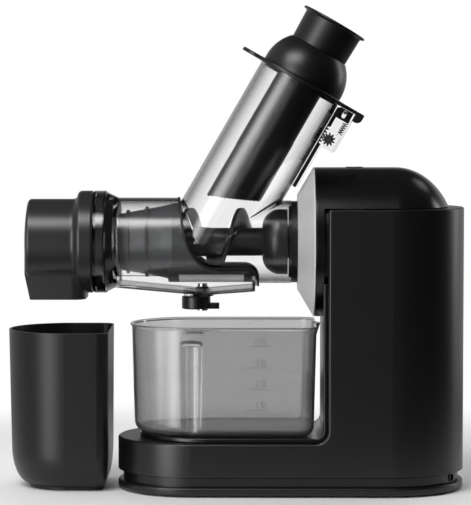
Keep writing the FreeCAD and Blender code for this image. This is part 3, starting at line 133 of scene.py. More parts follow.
def new_group(name, inputs, outputs):
    """Empty shader group, with a colour socket for the label Color and float sockets for the others."""
    group = bpy.data.node_groups.new(name, "ShaderNodeTree")
    for way, labels in (("INPUT", inputs), ("OUTPUT", outputs)):
        for label in labels:
            kind = "NodeSocketColor" if label == "Color" else "NodeSocketFloat"
            group.interface.new_socket(label, in_out=way, socket_type=kind)
    start = group.nodes.new("NodeGroupInput")
    end = group.nodes.new("NodeGroupOutput")
    return group, start.outputs, end.inputs


def moulded_group():
    """Moulded plastic: fine grain, a slow mottle in shade and roughness, and dust on upward faces."""
    group, start, end = new_group("moulded", ("Color", "Rough", "Grain", "Mottle"),
                                  ("Color", "Rough", "Height"))
    coord = add(group, "ShaderNodeTexCoord").outputs
    grain = noise(group, coord["Object"], start["Grain"], detail=3.0, roughness=0.6)
    slow = noise(group, coord["Object"], scale=22.0, detail=4.0, roughness=0.55)
    specks = noise(group, coord["Object"], scale=900.0, detail=2.0)
    normal = add(group, "ShaderNodeSeparateXYZ", in_0=coord["Normal"]).outputs
    upward = ramp(group, normal[2], first=0.55, last=1.0, kind="LINEAR")
    lint = ramp(group, specks, first=0.45, last=0.75, low=0.2, kind="LINEAR")
    dust = joined(group, "MULTIPLY", [upward, lint, DUST_SHARE])
    sway = both(group, "MULTIPLY", both(group, "SUBTRACT", slow, 0.5), start["Mottle"])
    gain = both(group, "ADD", sway, 1.0)
    dusty = add(group, "ShaderNodeMix", data_type="RGBA", in_0=dust, in_6=scaled(group, start["Color"], gain),
                in_7=DUST_GREY)
    feed(group, end["Color"], dusty.outputs[2])
    feed(group, end["Rough"], both(group, "ADD", both(group, "MULTIPLY", start["Rough"], gain), dust))
    feed(group, end["Height"], grain)
    return group


def polished_group():
    """Polished plastic: wide smears that raise the roughness, and hair-fine scratches for the height."""
    group, start, end = new_group("polished", ("Rough", "Smear"), ("Rough", "Height"))
    place = add(group, "ShaderNodeTexCoord").outputs["Object"]
    smear = noise(group, place, scale=14.0, detail=5.0, roughness=0.6, distortion=1.2)
    lift = ramp(group, smear, first=0.42, last=0.7, kind="LINEAR")
    smeared = both(group, "MULTIPLY", lift, start["Smear"])
    stretched = add(group, "ShaderNodeMapping", in_Vector=place, in_Scale=SCRATCH_SCALE).outputs[0]
    feed(group, end["Rough"], both(group, "ADD", smeared, start["Rough"]))
    feed(group, end["Height"], noise(group, stretched, scale=1.0, detail=2.0))
    return group


def turned_group():
    """Metal brushed round the drive axis: noise over the distance from the axis and the angle round it."""
    group, start, end = new_group("turned", ("Color", "Rough"), ("Color", "Rough", "Height"))
    place = add(group, "ShaderNodeTexCoord").outputs["Object"]
    moved = add(group, "ShaderNodeVectorMath", operation="SUBTRACT", in_0=place, in_1=(0.0, 0.0, AXIS_Z * MM))
    _, y, z = add(group, "ShaderNodeSeparateXYZ", in_0=moved.outputs[0]).outputs
    flat = add(group, "ShaderNodeCombineXYZ", in_1=y, in_2=z).outputs[0]
    reach = add(group, "ShaderNodeVectorMath", operation="LENGTH", in_0=flat).outputs["Value"]
    lines = add(group, "ShaderNodeCombineXYZ", in_0=both(group, "MULTIPLY", reach, LINES_ACROSS),
                in_1=both(group, "MULTIPLY", both(group, "ARCTAN2", y, z), LINES_ROUND)).outputs[0]
    brush = noise(group, lines, scale=1.0, detail=4.0, roughness=0.7)
    tone = ramp(group, brush, first=0.3, last=0.7, low=0.88, high=1.1, kind="LINEAR")
    feed(group, end["Color"], scaled(group, start["Color"], tone))
    feed(group, end["Rough"], both(group, "MULTIPLY", start["Rough"], tone))
    feed(group, end["Height"], brush)
    return group


MOULDED = moulded_group()
POLISHED = polished_group()
TURNED = turned_group()


# Materials

CLEAR_SMEAR = 0.02
CLEAR_IOR = 1.49
CLEAR_ABSORBS = (0.02, 0.02, 0.02, 1)
# How far a clear wall has turned away where its painted edge shade starts, and where it is full. The painted
# shade stands in for the dark surroundings seen through the edges of a curved wall.
PAINTED_EDGE_SHADE_START = 0.12
PAINTED_EDGE_SHADE_FULL = 0.8


def new_material(name):
    """Material with one principled shader: the material, its tree and the shader's inputs."""
    material = bpy.data.materials.new(name)
    material.use_nodes = True
    tree = material.node_tree
    return material, tree, first_node(tree, "BSDF_PRINCIPLED").inputs


def bump(tree, shader, height, strength, distance):
    """Normal of a surface raised by a height, at full height by the distance in metres."""
    node = add(tree, "ShaderNodeBump", in_Height=height, in_Strength=strength, in_Distance=distance)
    feed(tree, shader["Normal"], node.outputs[0])


def moulded(name, color, rough, grain, mottle=0.12, depth=0.02, specular=0.5):
    """Moulded plastic or rubber."""
    material, tree, shader = new_material(name)
    group = add(tree, "ShaderNodeGroup", node_tree=MOULDED, in_Color=(*color, 1), in_Rough=rough,
                in_Grain=grain, in_Mottle=mottle).outputs
    feed(tree, shader["Base Color"], group["Color"])
    feed(tree, shader["Roughness"], group["Rough"])
    feed(tree, shader["Specular IOR Level"], specular)
    bump(tree, shader, group["Height"], strength=depth, distance=0.0003)
    return material


def glossy(name, color, rough, smear):
    """Polished opaque plastic."""
    material, tree, shader = new_material(name)
    group = add(tree, "ShaderNodeGroup", node_tree=POLISHED, in_Rough=rough, in_Smear=smear).outputs
    feed(tree, shader["Base Color"], (*color, 1))
    feed(tree, shader["Roughness"], group["Rough"])
    bump(tree, shader, group["Height"], strength=0.01, distance=0.0001)
    return material


def clear(name, color, rough, density, edge, haze=0.0):
    """Clear moulded plastic that darkens through its wall, with a milky haze, and with a painted shade in its
    colour where it turns away from the view.
    """
    material, tree, shader = new_material(name)
    group = add(tree, "ShaderNodeGroup", node_tree=POLISHED, in_Rough=rough, in_Smear=CLEAR_SMEAR).outputs
    facing = add(tree, "ShaderNodeLayerWeight", in_Blend=0.5).outputs["Facing"]
    # Painted edge shade: the colour falls to the edge share of itself where the wall turns away from the
    # view.
    painted_edge_shade = add(tree, "ShaderNodeMix", data_type="RGBA", in_0=ramp(tree, facing, PAINTED_EDGE_SHADE_START, PAINTED_EDGE_SHADE_FULL),
               in_6=(*color, 1), in_7=(*(share * edge for share in color), 1))
    inside = add(tree, "ShaderNodeVolumeAbsorption", in_Density=density, in_Color=CLEAR_ABSORBS)
    feed(tree, shader["Base Color"], painted_edge_shade.outputs[2])
    feed(tree, shader["Roughness"], group["Rough"])
    feed(tree, shader["Transmission Weight"], 1.0 - haze)
    feed(tree, shader["IOR"], CLEAR_IOR)
    feed(tree, first_node(tree, "OUTPUT_MATERIAL").inputs["Volume"], inside.outputs[0])
    return material


def metal(name, color, rough, metallic=1.0, turned=0.0):
    """Turned or drawn metal, bare or lacquered, whose gloss may stretch across the turned lines."""
    material, tree, shader = new_material(name)
    group = add(tree, "ShaderNodeGroup", node_tree=TURNED, in_Color=(*color, 1), in_Rough=rough).outputs
    feed(tree, shader["Base Color"], group["Color"])
    feed(tree, shader["Roughness"], group["Rough"])
    feed(tree, shader["Metallic"], metallic)
    if turned:
        tangent = add(tree, "ShaderNodeTangent", direction_type="RADIAL", axis="X")
        feed(tree, shader["Anisotropic"], turned)
        feed(tree, shader["Tangent"], tangent.outputs["Tangent"])
    bump(tree, shader, group["Height"], strength=0.06, distance=0.0001)
    return material


def faint_print(name, color, cover):
    """Faint tone of the raised marks, which lets most of what is behind it show."""
    material, tree, shader = new_material(name)
    group = add(tree, "ShaderNodeGroup", node_tree=POLISHED, in_Rough=0.3, in_Smear=0.2).outputs
    feed(tree, shader["Base Color"], (*color, 1))
    feed(tree, shader["Roughness"], group["Rough"])
    feed(tree, shader["Alpha"], cover)
    return material


LOOKS = {
    "satin_black": (moulded, dict(color=(0.004, 0.0041, 0.0045), rough=0.34, grain=2400.0, depth=0.03)),
    "gloss_black": (glossy, dict(color=(0.003, 0.003, 0.0034), rough=0.22, smear=0.03)),
    "charcoal": (moulded, dict(color=(0.019, 0.0195, 0.0205), rough=0.3, grain=2400.0)),
    "cup_grey": (moulded, dict(color=(0.007, 0.0075, 0.0082), rough=0.38, grain=2000.0, depth=0.04,
                               specular=0.4)),
    # Edge is the share of colour left in the painted edge shade of a clear wall.
    "clear": (clear, dict(color=(0.99, 0.992, 0.992), rough=0.01, density=7.0, edge=0.25)),
    "smoke": (clear, dict(color=(0.72, 0.72, 0.725), rough=0.03, density=115.0, edge=0.9, haze=0.09)),
    "black_rubber": (moulded, dict(color=(0.006, 0.006, 0.006), rough=0.55, grain=3000.0, depth=0.05)),
    "brushed": (metal, dict(color=(0.95, 0.953, 0.96), rough=0.36, metallic=0.6, turned=0.8)),
    "screen_steel": (metal, dict(color=(0.98, 0.98, 0.98), rough=0.5, metallic=0.1)),
    "bright_steel": (metal, dict(color=(0.66, 0.66, 0.67), rough=0.22)),
    "dark_steel": (metal, dict(color=(0.2, 0.2, 0.21), rough=0.4)),
    "alloy": (metal, dict(color=(0.55, 0.56, 0.58), rough=0.42)),
    "grey_plastic": (moulded, dict(color=(0.07, 0.072, 0.076), rough=0.35, grain=2400.0)),
    "gear_white": (moulded, dict(color=(0.62, 0.6, 0.52), rough=0.4, grain=1500.0)),
    "mark_print": (faint_print, dict(color=(0.03, 0.03, 0.03), cover=0.13)),
    "board_green": (moulded, dict(color=(0.03, 0.16, 0.07), rough=0.3, grain=900.0, mottle=0.3)),
}
# Nodes whose look is not that of their material slot.
OWN_LOOKS = {"pulp_cup": "cup_grey", "strainer_screen": "screen_steel"}

looks = {name: make(name, **values) for name, (make, values) in LOOKS.items()}
slot_of = {part["node"]: part["material_slot"] for part in frame["record"]["subparts"]}
for name, obj in frame["nodes"].items():
    obj.data.materials.clear()
    obj.data.materials.append(looks[OWN_LOOKS.get(name, slot_of[name])])


# Pieces that are finer than their solids

CRISP_EDGE = math.radians(38)


def smooth_up_to_edges(mesh):
    """Smooth shading, with the edges sharper than the crisp angle kept."""
    mesh.shade_smooth()
    mesh.set_sharp_from_angle(angle=CRISP_EDGE)


def new_object(name, points, faces, material):
    """Object whose mesh has these points, given in millimetres, and faces."""
    mesh = bpy.data.meshes.new(name)
    mesh.from_pydata((points * MM).tolist(), [], faces)
    mesh.materials.append(material)
    obj = bpy.data.objects.new(name, mesh)
    scene.collection.objects.link(obj)
    return obj


def new_piece(name, points, faces, look, body):
    """Smooth piece that moves with a body, and has the material of its look."""
    piece = new_object(name, points, faces, looks[look])
    smooth_up_to_edges(piece.data)
    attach(piece, body)
    return piece


def skin(grid):
    """Closed skin over a grid of rings: quads between neighbours, and a fan from each end ring's middle."""
    rings, count = grid.shape[:2]
    k, i = np.indices((rings - 1, count))
    a = k * count + i
    b = k * count + (i + 1) % count
    quads = np.stack([a, b, b + count, a + count], axis=-1).reshape(-1, 4)
    turn = np.arange(count)
    after = (turn + 1) % count
    top = (rings - 1) * count
    hub = rings * count
    first = np.stack([after, turn, np.full(count, hub)], axis=-1)
    last = np.stack([turn + top, after + top, np.full(count, hub + 1)], axis=-1)
    points = np.concatenate([grid.reshape(-1, 3), grid[0].mean(axis=0)[None], grid[-1].mean(axis=0)[None]])
    return points, quads.tolist() + first.tolist() + last.tolist()


def quarter(count):
    """Angles of a quarter circle at even steps, in radians."""
    return np.radians(np.linspace(0, 90, count))


def soft_least(a, b, width):
    """Lesser of two values, less a quarter of the width times the square of how near they are."""
    near = np.clip(1 - np.abs(a - b) / width, 0, 1)
    return np.minimum(a, b) - near * near * width / 4


def soft_most(a, b, width):
    """Greater of two values, with the same blend where they meet."""
    return -soft_least(-a, -b, width)


# The jug

JUG_LEFT = -91.9 + CENTRE_X
JUG_RIGHT = 68.5 + CENTRE_X
JUG_HALF = 54.0
JUG_CORNER = 12.0
JUG_LOW = 50.3
JUG_HIGH = 144.5
JUG_DRAFT = 2.4
JUG_WALL = 2.2
JUG_FLOOR = 3.0
JUG_ROUND = 8.0
# Rolled rim from the outer wall over the top to the inner wall: depth below the top, and inset.
JUG_RIM_ROLL = [(2.7, 0.05), (2.35, -0.25), (2.15, -0.8), (1.8, -1.25), (1.3, -1.4), (0.6, -1.36),
                (0.2, -1.1), (0.0, -0.6), (0.0, 1.2), (0.2, 1.8), (0.7, 2.15)]
# Finger groove in each side: its axis, how far it goes in, its round top and the blend with the wall.
GRIP_X = -39.0 + CENTRE_X
GRIP_RADIUS = 10.0
GRIP_DEPTH = 6.0
GRIP_TOP = 130.6
GRIP_ROUND = 3.5
GRIP_BLEND = 1.6
# The groove changes the wall up to its zone's end on each side, while its radius is above the least. Above
# the round top its radius closes at one slope, and beside its circle its edge goes outwards at the other.
GRIP_ZONE = 14.0
GRIP_LEAST = 0.5
GRIP_CLOSING = 4.0
GRIP_FLARE = 3.0
# Pour lip: how far it reaches, its radius at the rim, and the height over which it grows out of the wall.
LIP_REACH = 72.8 + CENTRE_X
LIP_RADIUS = 13.0
LIP_DROP = 22.0
LIP_BLEND = 1.2
# Half width and steps of the finely divided wall at the lip, and steps of the wall at the groove.
LIP_ZONE = 16.0
LIP_STEP = 1.0
GRIP_STEP = 0.5
# Degrees of the round end that are finely divided next to the groove, and their steps.
END_ZONE = 16.0
END_STEP = 0.5
# Points on the rest of the round end, on the rest of a straight side, and on a quarter circle.
END_COUNT = 60
SIDE_COUNT = 16
CORNER_COUNT = 9
# Distance from the right wall within which a point lies on it.
TOUCH = 0.01
# Rings of the walls, finest at the groove's top: first height, end and step.
JUG_RUNS = [(JUG_LOW + JUG_ROUND + 3.0, GRIP_TOP - 5.0, 5.0), (GRIP_TOP - 5.0, GRIP_TOP + 3.6, 0.4),
            (GRIP_TOP + 4.2, JUG_HIGH - 3.0, 1.5)]
# Least height from the round of the inner floor to the first ring of the inner wall.
RING_GAP = 1.0


def jug_draft(z):
    """How far the jug's side leans in: nothing at the rim, the full draft at the foot, even between."""
    return JUG_DRAFT * (1 - (z - JUG_LOW) / (JUG_HIGH - JUG_LOW))


def jug_plan(z, inset, corner, wall):
    """Jug's plan at each height, one row of points per ring.

    A round left end, straight sides and two round corners, moved inwards by the inset. The finger groove is
    the side of a circle, blended into the wall by the lesser of the two, and its radius shrinks along a
    quarter circle at its top. The pour lip is the side of a cone, blended into the right wall by the greater
    of the two. Wall is how far the surface lies inside the outer one.
    """
    z, inset, corner, wall = (np.asarray(v, dtype=float)[:, None] for v in (z, inset, corner, wall))
    half = JUG_HALF - inset
    right = JUG_RIGHT - np.maximum(inset, 0)
    start = JUG_LEFT + inset + half
    stop = right - corner
    reach = half - corner

    beside_grip = np.arange(0, GRIP_ZONE, GRIP_STEP) + 0 * z
    beyond = GRIP_ZONE + (stop - start - GRIP_ZONE) * np.linspace(0, 1, SIDE_COUNT)
    along = start + np.concatenate([beside_grip, beyond], axis=1)
    bend = quarter(CORNER_COUNT)[1:-1]
    at_lip = np.arange(-LIP_ZONE, LIP_ZONE + LIP_STEP / 2, LIP_STEP) + 0 * z
    beside_lip = (reach - LIP_ZONE) * np.linspace(0, 1, SIDE_COUNT // 2)[:-1]
    across = np.concatenate([beside_lip - reach, at_lip, (reach - beside_lip)[:, ::-1]], axis=1)
    ends = np.arange(0, END_ZONE, END_STEP)
    middle = np.linspace(90 + END_ZONE, 270 - END_ZONE, END_COUNT)
    turn = np.radians(np.concatenate([90 + ends, middle, 270 - ends[::-1]]))[1:-1]
    x = np.concatenate([along, stop + corner * np.sin(bend), right + 0 * across,
                        stop + corner * np.cos(bend), along[:, ::-1], start + half * np.cos(turn)], axis=1)
    y = np.concatenate([-half + 0 * along, -reach - corner * np.cos(bend), across,
                        reach + corner * np.sin(bend), half + 0 * along, half * np.sin(turn)], axis=1)

    into = z - (GRIP_TOP + wall - GRIP_ROUND)
    shrink = GRIP_ROUND - np.sqrt(GRIP_ROUND ** 2 - np.clip(into, 0, GRIP_ROUND) ** 2)
    shrink = shrink + GRIP_CLOSING * np.maximum(into - GRIP_ROUND, 0)
    radius = np.maximum(GRIP_RADIUS + wall - shrink, 0)
    off = np.abs(x - GRIP_X)
    groove = JUG_HALF - GRIP_DEPTH + GRIP_RADIUS - np.sqrt(np.clip(radius ** 2 - off ** 2, 0, None))
    groove = groove + GRIP_FLARE * np.clip(off - radius, 0, None)
    on_grip = (off < GRIP_ZONE) & (radius > GRIP_LEAST)
    y = np.where(on_grip, np.sign(y) * soft_least(np.abs(y), groove, GRIP_BLEND), y)

    rise = np.clip((z - (JUG_HIGH - LIP_DROP)) / LIP_DROP, 0, 1)
    low = LIP_RADIUS - (LIP_REACH - JUG_RIGHT) - JUG_DRAFT
    cone = np.maximum(low + (LIP_RADIUS - low) * rise - wall, 0)
    lip = LIP_REACH - LIP_RADIUS + np.sqrt(np.clip(cone ** 2 - y ** 2, 0, None))
    on_lip = (np.abs(y) < cone) & (rise > 0) & (x > right - TOUCH)
    x = np.where(on_lip, soft_most(x, lip, LIP_BLEND), x)
    return np.stack([x, y, z + 0 * x], axis=-1)


def make_jug():
    """Smoky jug as one closed skin: rounded foot, outer wall, rolled rim, inner wall and rounded floor."""
    climb = quarter(CORNER_COUNT)
    small = JUG_ROUND - JUG_WALL
    room_low = JUG_LOW + JUG_FLOOR
    heights = np.concatenate([np.arange(*run) for run in JUG_RUNS])
    inner = heights[heights > room_low + small + RING_GAP][::-1]
    foot_z = JUG_LOW + JUG_ROUND * (1 - np.cos(climb))
    foot_in = JUG_ROUND * (1 - np.sin(climb))
    floor_z = (room_low + small * (1 - np.cos(climb)))[::-1]
    floor_in = (small * (1 - np.sin(climb)))[::-1]
    rim_drop, rim_in = np.array(JUG_RIM_ROLL).T
    z = np.concatenate([foot_z, heights, JUG_HIGH - rim_drop, inner, floor_z])
    inset = np.concatenate([jug_draft(foot_z) + foot_in, jug_draft(heights), rim_in,
                            jug_draft(inner) + JUG_WALL, jug_draft(floor_z) + JUG_WALL + floor_in])
    corner = JUG_CORNER - np.concatenate([foot_in, 0 * heights, 0 * rim_in, 0 * inner, floor_in])
    wall = np.concatenate([0 * foot_z, 0 * heights, np.maximum(rim_in, 0), 0 * inner + JUG_WALL,
                           0 * floor_z + JUG_WALL])
    points, faces = skin(jug_plan(z, inset, corner, wall))
    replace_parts(new_piece("jug_shell", points, faces, "smoke", "jug"), "juice_jug")


# The interlock's spring

# Place of the spring's axis, away from the feed tube's, and its ends along the tube.
SPRING_OFF = 51.9
SPRING_LOW = 138.3
SPRING_HIGH = 148.85
SPRING_RADIUS = 1.7
SPRING_WIRE = 0.45
SPRING_TURNS = 5
STEPS_PER_TURN = 36
WIRE_STEP = 30


def make_slider_spring():
    """Return spring of the interlock: a circle of wire carried along a helix round the guide pin."""
    lean = np.array([math.cos(FEED_TILT), 0, -math.sin(FEED_TILT)])
    spine = np.array([math.sin(FEED_TILT), 0, math.cos(FEED_TILT)])
    depth = np.array([0.0, 1.0, 0.0])
    t = np.linspace(0, 1, STEPS_PER_TURN * SPRING_TURNS + 1)[:, None]
    angle = 2 * math.pi * SPRING_TURNS * t
    outwards = np.cos(angle) * lean + np.sin(angle) * depth
    foot = np.array([FEED_X, 0, AXIS_Z]) + SPRING_OFF * lean
    path = foot + SPRING_RADIUS * outwards + (SPRING_LOW + (SPRING_HIGH - SPRING_LOW) * t) * spine
    ahead = np.gradient(path, axis=0)
    ahead = ahead / np.linalg.norm(ahead, axis=1, keepdims=True)
    over = np.cross(ahead, outwards)
    turn = np.radians(np.arange(0, 360, WIRE_STEP))[None, :, None]
    wire = np.cos(turn) * outwards[:, None] + np.sin(turn) * over[:, None]
    points, faces = skin(path[:, None] + SPRING_WIRE * wire)
    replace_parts(new_piece("return_spring", points, faces, "dark_steel", "juice_chamber"), "slider_spring")


# The jug's marks

# Each level's number and height, and the ends of its line.
JUG_LEVELS = [("40", 128.7), ("30", 110.4), ("20", 91.8), ("10", 73.7)]
MARK_LEFT = 8.5
MARK_RIGHT = 27.5
# First digit's left side, the step to the next, a digit's size, and how far it stands above its line.
MARK_TEXT = 15.5
MARK_STEP = 5.4
MARK_SIZE = (4.0, 5.2)
MARK_LIFT = 2.0
# Width and height of a bar, and its gap to the wall.
MARK_STROKE = 0.7
MARK_RISE = 0.2
MARK_GAP = 0.02
# A bar's eight corners are four at its foot and four at its top.
BAR_CORNERS = 8
BAR_FACES = np.array([[3, 2, 1, 0], [4, 5, 6, 7], [0, 1, 5, 4], [1, 2, 6, 5], [2, 3, 7, 6], [3, 0, 4, 7]])
# Outlines of the digits in a square of size one. The nought is an ellipse.
ROUND_TURN = np.linspace(0, 2 * math.pi, 17)
DIGITS = {
    "0": np.stack([0.5 + 0.42 * np.sin(ROUND_TURN), 0.5 + 0.5 * np.cos(ROUND_TURN)], axis=1),
    "1": [(0.25, 0.8), (0.55, 1.0), (0.55, 0.0)],
    "2": [(0.1, 0.75), (0.25, 0.95), (0.6, 1.0), (0.85, 0.8), (0.8, 0.55), (0.1, 0.0), (0.9, 0.0)],
    "3": [(0.1, 0.9), (0.45, 1.0), (0.8, 0.85), (0.75, 0.6), (0.4, 0.52), (0.8, 0.42), (0.85, 0.15),
          (0.45, 0.0), (0.1, 0.1)],
    "4": [(0.7, 0.0), (0.7, 1.0), (0.05, 0.3), (0.95, 0.3)],
}


def make_jug_marks():
    """Level lines and their numbers on the jug's front wall: low bars that stand a hair off the drafted wall.

    A bar runs from one point of a digit's outline to the next. Its foot is a rectangle as wide as the stroke,
    half a width longer at both ends, and its top is the same rectangle drawn in by the bar's height.
    """
    strokes = []
    for text, z in JUG_LEVELS:
        strokes.append([MARK_LEFT, z, MARK_RIGHT, z])
        for place, sign in enumerate(text):
            line = np.array(DIGITS[sign]) * MARK_SIZE
            line = line + (MARK_TEXT + place * MARK_STEP, z + MARK_LIFT)
            strokes += np.concatenate([line[:-1], line[1:]], axis=1).tolist()
    strokes = np.array(strokes)
    start, end = strokes[:, :2], strokes[:, 2:]
    ahead = (end - start) / np.linalg.norm(end - start, axis=1, keepdims=True)
    aside = np.stack([-ahead[:, 1], ahead[:, 0]], axis=1)
    half = np.array([MARK_STROKE / 2, MARK_STROKE / 2 - MARK_RISE])[None, :, None]
    ahead, aside = ahead[:, None] * half, aside[:, None] * half
    start, end = start[:, None] - ahead, end[:, None] + ahead
    flat = np.stack([start - aside, end - aside, end + aside, start + aside], axis=2)
    x, z = flat[..., 0], flat[..., 1]
    off = np.array([MARK_GAP, MARK_GAP + MARK_RISE])[None, :, None]
    points = np.stack([x + CENTRE_X, jug_draft(z) - JUG_HALF - off, z], axis=-1).reshape(-1, 3)
    faces = (BAR_FACES[None] + BAR_CORNERS * np.arange(len(strokes))[:, None, None]).reshape(-1, 4).tolist()
    new_piece("jug_marks", points, faces, "mark_print", "jug")


# The pulp spout

# The cap: the middle of its end, how far the end bows, its rounded edge and the barrel.
SPOUT_END = -185.0
SPOUT_BOW = 3.0
SPOUT_EDGE = 3.2
SPOUT_RADIUS = 37.3
# The hollow and the round shoulder up to the ring, the ring, and the small bevel at its right end.
SPOUT_HOLLOW = 5.0
SPOUT_SHOULDER = 4.0
SPOUT_RING = -134.5
SPOUT_RING_RADIUS = 44.5
SPOUT_RIGHT = -124.8
SPOUT_BEVEL = 1.0
# The chute: its left wall's top and slant, right wall, right corners, depth below the axis at the top of the
# slant and at its end, half width, and the blend with the cap.
CHUTE_LEFT = -183.4
CHUTE_SLANT = 4.7
CHUTE_RIGHT = -131.0
CHUTE_CORNER = 12.0
CHUTE_TOP = 26.5
CHUTE_DEPTH = 49.0
CHUTE_HALF = 26.4
CHUTE_BLEND = 1.2
# The wall, the room's left end, and the wider socket for the drum's neck.
SPOUT_WALL = 2.5
SPOUT_ROOM = -177.5
SOCKET_LEFT = -131.6
SOCKET_RADIUS = 37.0
# How far a cutter runs past what it cuts: down the chute, and out of the socket.
CHUTE_OVERRUN = 5.0
SOCKET_OVERRUN = 1.0
# Steps along the barrel and the ring, and the gap before the barrel, half of which is left behind it.
BARREL_STEP = 0.8
RING_STEP = 0.35
STATION_GAP = 1.0
# Points on the bow and on a quarter circle, the share of the end's radius at the first ring, and the degrees
# from point to point round the axis.
BOW_COUNT = 26
EDGE_COUNT = 13
HUB_SHARE = 0.02
TURN_STEP = 1.5
# Least cosine of the angle from straight down at which the chute is seen, and the least divisor.
CHUTE_COSINE = 0.05
LEAST = 0.001
# Points on a quarter circle of the chute's cutter.
BOX_CORNER_COUNT = 7


def rounded_box(left, right, half, corner, low, high):
    """Upright box with round corners: its plan, with a quarter circle at each corner, at both ends."""
    arc = quarter(BOX_CORNER_COUNT)
    turn = np.concatenate([arc + k * math.pi / 2 for k in range(4)])
    mid_x = np.repeat([right - corner, left + corner, left + corner, right - corner], len(arc))
    mid_y = np.repeat([half - corner, half - corner, corner - half, corner - half], len(arc))
    plan = np.stack([mid_x + corner * np.cos(turn), mid_y + corner * np.sin(turn), 0 * turn], axis=1)
    return skin(np.stack([plan + (0, 0, low), plan + (0, 0, high)]))


def cut_from(piece, points, faces):
    """Take a closed shape out of a piece, and keep the piece's edges crisp."""
    tool = new_object("cutter", points, faces, piece.data.materials[0])
    change = piece.modifiers.new("way_out", "BOOLEAN")
    change.operation = "DIFFERENCE"
    change.solver = "EXACT"
    change.object = tool
    mesh = bpy.data.meshes.new_from_object(piece.evaluated_get(bpy.context.evaluated_depsgraph_get()))
    piece.modifiers.clear()
    piece.data = mesh
    smooth_up_to_edges(mesh)
    bpy.data.objects.remove(tool)


def spout_profile():
    """Cap's turned profile from its end to its ring, as stations along the drive axis and radii.

    A parabola for the bow of the end, a quarter circle for its edge, the straight barrel, two quarter
    ellipses for the hollow and the round shoulder up to the ring, the straight ring, and a bevel.
    """
    bow = np.linspace(HUB_SHARE, 1, BOW_COUNT)
    t = quarter(EDGE_COUNT)[1:]
    edge = SPOUT_END + SPOUT_BOW
    hollow = SPOUT_RING - SPOUT_SHOULDER - SPOUT_HOLLOW
    shoulder = SPOUT_RING - SPOUT_SHOULDER
    barrel = np.arange(edge + SPOUT_EDGE + STATION_GAP, hollow - STATION_GAP / 2, BARREL_STEP)
    ring = np.arange(SPOUT_RING + RING_STEP, SPOUT_RIGHT - SPOUT_BEVEL, RING_STEP)
    face = SPOUT_RADIUS - SPOUT_EDGE
    step = (SPOUT_RING_RADIUS - SPOUT_RADIUS) / 2
    stretches = [
        (SPOUT_END + SPOUT_BOW * bow ** 2, face * bow),
        (edge + SPOUT_EDGE * (1 - np.cos(t)), face + SPOUT_EDGE * np.sin(t)),
        (barrel, SPOUT_RADIUS + 0 * barrel),
        (hollow + SPOUT_HOLLOW * np.sin(t), SPOUT_RADIUS + step * (1 - np.cos(t))),
        (shoulder + SPOUT_SHOULDER * (1 - np.cos(t)), SPOUT_RADIUS + step * (1 + np.sin(t))),
        (ring, SPOUT_RING_RADIUS + 0 * ring),
        ([SPOUT_RIGHT - SPOUT_BEVEL, SPOUT_RIGHT], [SPOUT_RING_RADIUS, SPOUT_RING_RADIUS - SPOUT_BEVEL]),
    ]
    x, radius = (np.concatenate(values) for values in zip(*stretches))
    return x + CENTRE_X, radius


def skin_round_axis(x, reach, angle):
    """Closed skin round the drive axis, from its reach at each station and each angle from straight down."""
    along, across, down = x + 0 * reach * angle, reach * np.sin(angle), reach * np.cos(angle)
    return skin(np.stack([along, across, AXIS_Z - down], axis=-1))


def make_pulp_spout():
    """Pulp spout as one skin round the drive axis, with its room and its way out below cut into it.

    At each station the skin's distance from the axis is the greater of the cap's profile and the chute,
    blended. The chute is a box below the axis, seen from the axis: its depth over the cosine of the angle
    from straight down, or its half width over the sine, whichever is less. The half width follows a quarter
    circle at the right corners, and the depth grows along the slanted left wall. The room is turned, wider
    where the drum's neck goes in.
    """
    x, cap = spout_profile()
    angle = np.radians(np.arange(0, 360, TURN_STEP))[None]
    down, across = np.cos(angle), np.abs(np.sin(angle))
    left, right = CHUTE_LEFT + CENTRE_X, CHUTE_RIGHT + CENTRE_X
    depth = CHUTE_TOP + (x - left) / CHUTE_SLANT * (CHUTE_DEPTH - CHUTE_TOP)
    depth = np.clip(depth, 0, CHUTE_DEPTH)[:, None]
    past = np.clip(x - (right - CHUTE_CORNER), 0, CHUTE_CORNER)
    half = (CHUTE_HALF - CHUTE_CORNER + np.sqrt(CHUTE_CORNER ** 2 - past ** 2))[:, None]
    box = np.minimum(depth / np.maximum(down, LEAST), half / np.maximum(across, LEAST))
    box = np.where((down > CHUTE_COSINE) & ((x < right) & (x > left))[:, None], box, 0)
    points, faces = skin_round_axis(x[:, None], soft_most(cap[:, None], box, CHUTE_BLEND), angle)
    spout = new_piece("spout_shell", points, faces, "charcoal", "spout")
    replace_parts(spout, "pulp_spout")
    cut_from(spout, *rounded_box(left + CHUTE_SLANT + SPOUT_WALL, right - SPOUT_WALL, CHUTE_HALF - SPOUT_WALL,
                                 CHUTE_CORNER - SPOUT_WALL, AXIS_Z - CHUTE_DEPTH - CHUTE_OVERRUN, AXIS_Z))
    room = SPOUT_RADIUS - SPOUT_WALL
    ends = np.array([SPOUT_ROOM, SOCKET_LEFT, SOCKET_LEFT, SPOUT_RIGHT + SOCKET_OVERRUN])[:, None] + CENTRE_X
    radii = np.array([room, room, SOCKET_RADIUS, SOCKET_RADIUS])[:, None]
    cut_from(spout, *skin_round_axis(ends, radii, angle))


make_jug()
make_slider_spring()
make_jug_marks()
make_pulp_spout()


# Stage, light and camera

FLOOR_HALF = 6.0
FLOOR_ROUGH = 0.6
# Ramps of the floor: first and last distance, and the value up to the one and from the other. Its shade and
# its white follow the distance from the middle. Mirrors lose it with the distance from a point behind.
FLOOR_SHADE = (0.25, 0.7, 0.86, 0.12)
FLOOR_WHITE = (0.2, 0.62, 0.0, 1.0)
FLOOR_LOST = (0.48, 0.64, 0.0, 1.0)
FLOOR_BEHIND = (0.1, 0.35, 0.0)
